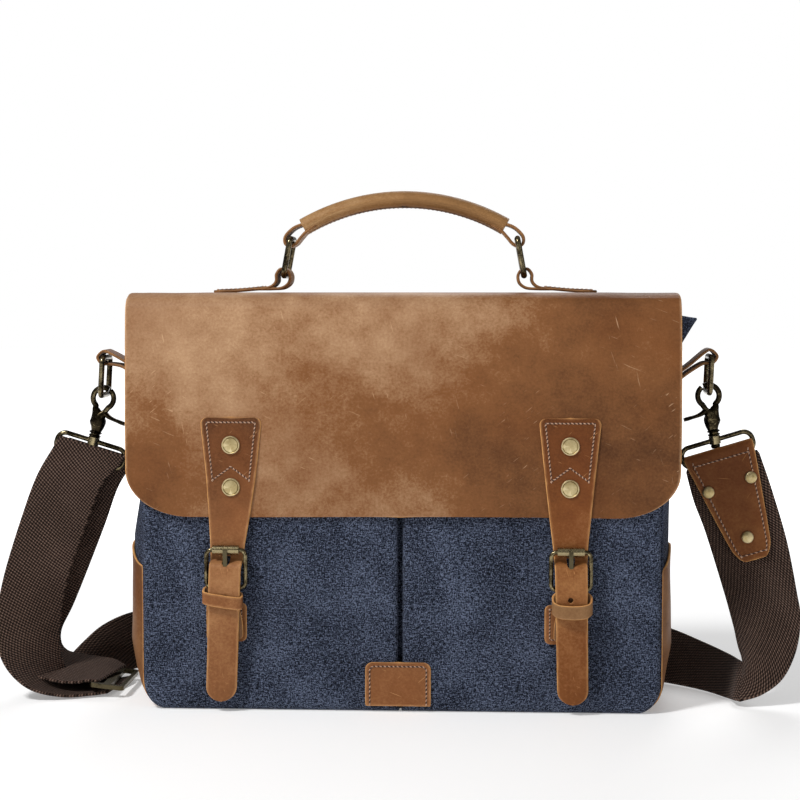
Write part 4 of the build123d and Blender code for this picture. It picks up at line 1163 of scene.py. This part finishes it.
# ---- Shoulder strap -----------------------------------------------------------------------------------
# Each run is a list of sections along it, and each section is the two edges of the webbing there
FRONT_LEFT = [
    ((-257, -3.4, 191.5), (-208.5, -3.4, 176.5)), ((-261, -4, 184), (-214, -4, 169.5)),
    ((-274, -5, 161.5), (-226, -5, 156)), ((-286, -7, 128.5), (-237, -6, 128.5)),
    ((-297, -14, 88.8), (-251, -8, 88.8)), ((-299, -28, 61), (-257, -8, 61)),
    ((-297, -36, 40), (-259, -8, 39)), ((-288, -40, 22), (-256, -5, 20)), ((-272, -41, 9), (-250, 2, 9)),
    ((-250, -36, 3), (-240, 12, 4.5)), ((-231, -28, 2.5), (-221, 20, 4)),
    ((-219, -24, 3.5), (-210, 24, 5)),
]
BACK_LEFT = [
    ((-252, 3.4, 189.5), (-203, 3.4, 174.5)), ((-256, 4, 182), (-208, 4, 167)),
    ((-265, 5, 158), (-217, 5, 152)), ((-275, 6, 126), (-227, 7, 125)), ((-285, 5, 90), (-242, 12, 89)),
    ((-291, 0, 62), (-255, 18, 60)), ((-292, -10, 44), (-264, 22, 43)), ((-288, -20, 28), (-265, 24, 31)),
    ((-274, -26, 16.5), (-259, 24, 24)), ((-256, -28, 12), (-246, 24, 21.5)),
    ((-243, -27, 11), (-234, 23, 20)), ((-234, -25, 12), (-223, 23, 18)),
    ((-226, -24, 11.5), (-215, 23, 14)),
]
REAR = [
    ((-266, 2, 9), (-219, 0, 9)), ((-267, 8, 9), (-221, 6, 8.5)), ((-268, 24, 9), (-222, 22, 5.5)),
    ((-264, 42, 14), (-221, 38, 5)), ((-254, 55, 25), (-216, 52, 5.5)), ((-240, 64, 37), (-209, 62, 5.5)),
    ((-219, 70, 46), (-197, 70, 5)), ((-192, 73, 50), (-180, 75, 3.5)), ((-150, 74, 51), (-148, 77, 2.5)),
    ((-60, 74, 51.5), (-60, 78, 2.5)), ((40, 75, 51), (40, 78, 2.5)), ((130, 72, 49), (130, 73, 2.5)),
    ((172, 71, 45), (166, 62, 2.2)), ((202, 66, 38.5), (194, 46, 2)), ((226, 44, 32), (222, 18, 2)),
    ((242, 16, 28.5), (238, -10, 2.2)), ((248.5, -2, 27), (240, -30, 5)),
    ((250.5, -6, 26.6), (243, -35, 5)),
]
RIGHT = [
    ((208, -3, 168), (259, -3, 183)), ((214, -4, 146), (269, -4, 154)), ((223, -5, 122), (280, -5, 117)),
    ((236, -6, 80), (287, -10, 80)), ((242, -7, 58), (289, -16, 62)), ((246, -8, 42), (285, -23, 40)),
    ((249, -8, 33), (275, -29, 21)), ((250.5, -7, 28.5), (260, -33, 10)),
    ((250.5, -6, 27), (244, -35.6, 5)),
]
LEATHER_END = [
    ((205.6, -5.6, 178), (254, -5.6, 192.5)), ((207, -6.8, 173), (255.5, -6.8, 187)),
    ((216, -7.4, 156), (259.5, -7.4, 166)), ((232, -8.4, 126), (266, -8.4, 130)),
    ((246, -9.6, 101), (269.4, -9.6, 108)),
]


def ribbon_grid(sections, rows, cols=21, seed=0.0, wobble=0.5):
    """Rows of points between the two edges, with a slight twist to and fro."""
    a = spline([s[0] for s in sections], rows)
    b = spline([s[1] for s in sections], rows)
    u = np.linspace(0, 1, cols)[None, :, None]
    grid = a[:, None, :] * (1 - u) + b[:, None, :] * u
    bend = np.sin(np.linspace(0, 9, rows) + seed)[:, None] * (u[:, :, 0] - 0.5) * wobble
    grid[:, :, 1] += bend
    return grid


def web(name, sections, rows, node, seed):
    """One run of webbing."""
    grid = ribbon_grid(sections, rows, seed=seed)
    obj = slab(name, grid, 2.1, ("webbing", "webbing", "webbing"), centred=True, lip=0.5)
    place(obj, "root", "webbing", node)


web("strap_web_front", FRONT_LEFT, 150, "webbing_left_front", 0.3)
web("strap_web_inner", BACK_LEFT, 130, "webbing_left_back", 1.9)
web("strap_web_rear", REAR, 200, "webbing_rear", 4.0)
web("strap_web_right", RIGHT, 120, "webbing_right", 2.2)

END_ROWS, TAPER_FROM = 80, 0.86
end_grid = ribbon_grid(LEATHER_END, END_ROWS, 31, 0.0, 0.0)
for i, row in enumerate(end_grid):
    d = i / (END_ROWS - 1)
    if d > TAPER_FROM:
        h = (d - TAPER_FROM) / (1 - TAPER_FROM)
        centre, shrink = row.mean(axis=0), math.sqrt(max(1 - 0.55 * h * h, 0.05))
        end_grid[i] = centre + (row - centre) * shrink
end_grid[:, :, 1] -= 1.0
shield = slab("strap_end_shield", end_grid, 1.9, ("end", "edge", "suede"))
place(shield, "root", "strap_leather", "strap_end_leather")
inset_rows = end_grid[6:-4]
left = inset_rows[:, 2] * 0.4 + inset_rows[:, 3] * 0.6
right = inset_rows[:, -3] * 0.4 + inset_rows[:, -4] * 0.6
seams = {"left": left, "right": right, "top": end_grid[8, 3:-3], "foot": end_grid[-5, 3:-3]}
for edge, line in seams.items():
    stitches(f"end_stitch_{edge}", line, FORWARD, pitch=3.2)

DOME = [(4.5 * math.sin(a), 0.2 + 1.7 * math.cos(a)) for a in np.linspace(0.25, math.pi / 2, 7)]
DOME = [(0, 1.9)] + DOME + [(4.5, -0.6)]
for k, (x, z) in enumerate(((223.0, 152.9), (253.7, 164.1), (251.5, 120.3))):
    surface = float(np.interp(-z, [-180, -150, -108], [-8.6, -9.2, -11.2]))
    rivet = lathe(f"end_rivet_{k}", (x, surface, z), DOME, "rivet_brass")
    place(rivet, "root", "rivet_brass", *(["strap_end_rivets"] if k == 0 else []))


# ---- Snap hooks ------------------------------------------------------------------------------------------
BOSS = {"left": (-232.7, 188.1), "right": (228.3, 190.7)}
TILT = {"left": 14.0, "right": -8.7}


def on_hook(side, along, inward, y=0.0):
    """A point in the hook's own directions: up its axis and towards the bag."""
    tilt, sign = math.radians(TILT[side]), 1 if side == "left" else -1
    x0, z0 = BOSS[side]
    across = inward * sign
    x = x0 + along * math.sin(tilt) + across * math.cos(tilt)
    return (x, y, z0 + along * math.cos(tilt) - across * math.sin(tilt))


def cast(name, side, points, body, nodes=(), flat=0.85, y=0.0, count=70):
    """A cast bar through (along, inward, radius) points."""
    path = spline([on_hook(side, a, c, y) for a, c, r in points], count)
    radius = spline([(r, i * 1.0, 0) for i, (a, c, r) in enumerate(points)], count)[:, 0]
    place(tube(name, path, radius, "antique_brass", 18, flat), body, "antique_brass", *nodes)


EYE_ALONG, EYE_RADIUS = 33, 7.9


def eye(start, stop, fat):
    """Points round the hook's eye, angles from the bag side."""
    turns = [math.radians(a) for a in np.linspace(start, stop, 12)]
    return [(EYE_ALONG + EYE_RADIUS * math.sin(a), EYE_RADIUS * math.cos(a), fat) for a in turns]


for side, _ in SIDES:
    body = eye(70, 238, 2.1)
    body += [
        (24.6, -4.2, 3.0), (21.0, -2.4, 4.4), (16.5, -0.6, 6.0), (12, 0.2, 6.0), (8.8, 0.2, 4.8),
        (7.0, 0, 3.6),
    ]
    cast(f"hook_body_{side}", side, body, f"snap_hook_{side}", nodes=[f"snap_hook_{side}"], flat=0.62)
    collar = [
        (7.6, 0, 3.6), (7.0, 0, 4.7), (6.2, 0, 4.7), (5.4, 0, 3.5), (4.6, 0, 3.6), (4.0, 0, 4.5),
        (3.3, 0, 4.5), (3.1, 0, 3.6),
    ]
    cast(f"hook_collar_{side}", side, collar, f"snap_hook_{side}", flat=1.0, count=40)
    foot = [(-3.1, 0, 3.0), (-3.6, 0, 3.5), (-5.0, 0, 3.4), (-6.0, 0, 2.9)]
    cast(f"hook_foot_{side}", side, foot, f"snap_hook_{side}", flat=1.0, count=16)
    gate = eye(60, -48, 2.0)
    gate += [(26.0, 4.8, 3.2), (22.5, 3.0, 4.0), (18.5, 1.0, 4.8), (15.0, 0.2, 4.8), (12.5, -0.2, 3.8)]
    cast(
        f"hook_gate_{side}", side, gate, f"hook_lever_{side}", nodes=[f"hook_lever_{side}"], flat=0.5,
        y=-1.7,
    )
    thumb = [
        (22.5, 3.6, 2.0), (20.5, 7.0, 1.8), (19.4, 11.0, 1.5), (18.8, 15.0, 1.4), (18.2, 19.0, 1.6),
        (18.0, 20.4, 1.4),
    ]
    cast(f"hook_thumb_{side}", side, thumb, f"hook_lever_{side}", flat=1.6, y=-1.2, count=30)

# ---- Metal keeps its CAD shape and takes a worn finish; the prongs and slider take painted shade ---------
slot_of = {s["node"]: s["material_slot"] for s in frame["record"]["subparts"]}
FINISH = {"board": "base", "core": "suede", "strap_leather": "strap", "flap_leather": "flap"}
# The prongs and the slider take the darker copy of the brass, painted shade.
SHADED_METAL_PARTS = ("buckle_prong_left", "buckle_prong_right", "strap_slider")
for name, obj in NODES.items():
    finish = "shaded_brass" if name in SHADED_METAL_PARTS else FINISH.get(slot_of[name], slot_of[name])
    for material_slot in obj.material_slots:
        material_slot.material = M[finish]

# ---- Floor: white, glowing more with distance as painted light, so that it meets the backdrop without a seam ---
floor_shade = Shade("floor_paint_and_glow", "Object")
floor_shade.bsdf.inputs["Emission Color"].default_value = WHITE
# Painted light: the floor glows, faintly near the bag so that shadows show there, and full white far off.
reach = floor_shade.node("VectorMath", {0: floor_shade.uv}, out=1, operation="LENGTH")
floor_shade.tree.links.new(
    floor_shade.clamp(reach, 0.45, 1.3, 0.26, 1.0), floor_shade.bsdf.inputs["Emission Strength"],
)
paint = [(0.3, (0.86, 0.86, 0.86, 1)), (0.7, (0.88, 0.88, 0.88, 1))]
paint = floor_shade.ramp(floor_shade.noise(floor_shade.uv, 3, 2), paint)
M["floor"] = floor_shade.finish(paint, 0.6, None, Specular_IOR_Level=0.2)
ground = bpy.data.meshes.new("floor")
ground.from_pydata([(-8, -8, 0), (8, -8, 0), (8, 8, 0), (-8, 8, 0)], [], [(0, 1, 2, 3)])
ground.materials.append(M["floor"])
floor = bpy.data.objects.new("floor", ground)
bpy.context.scene.collection.objects.link(floor)
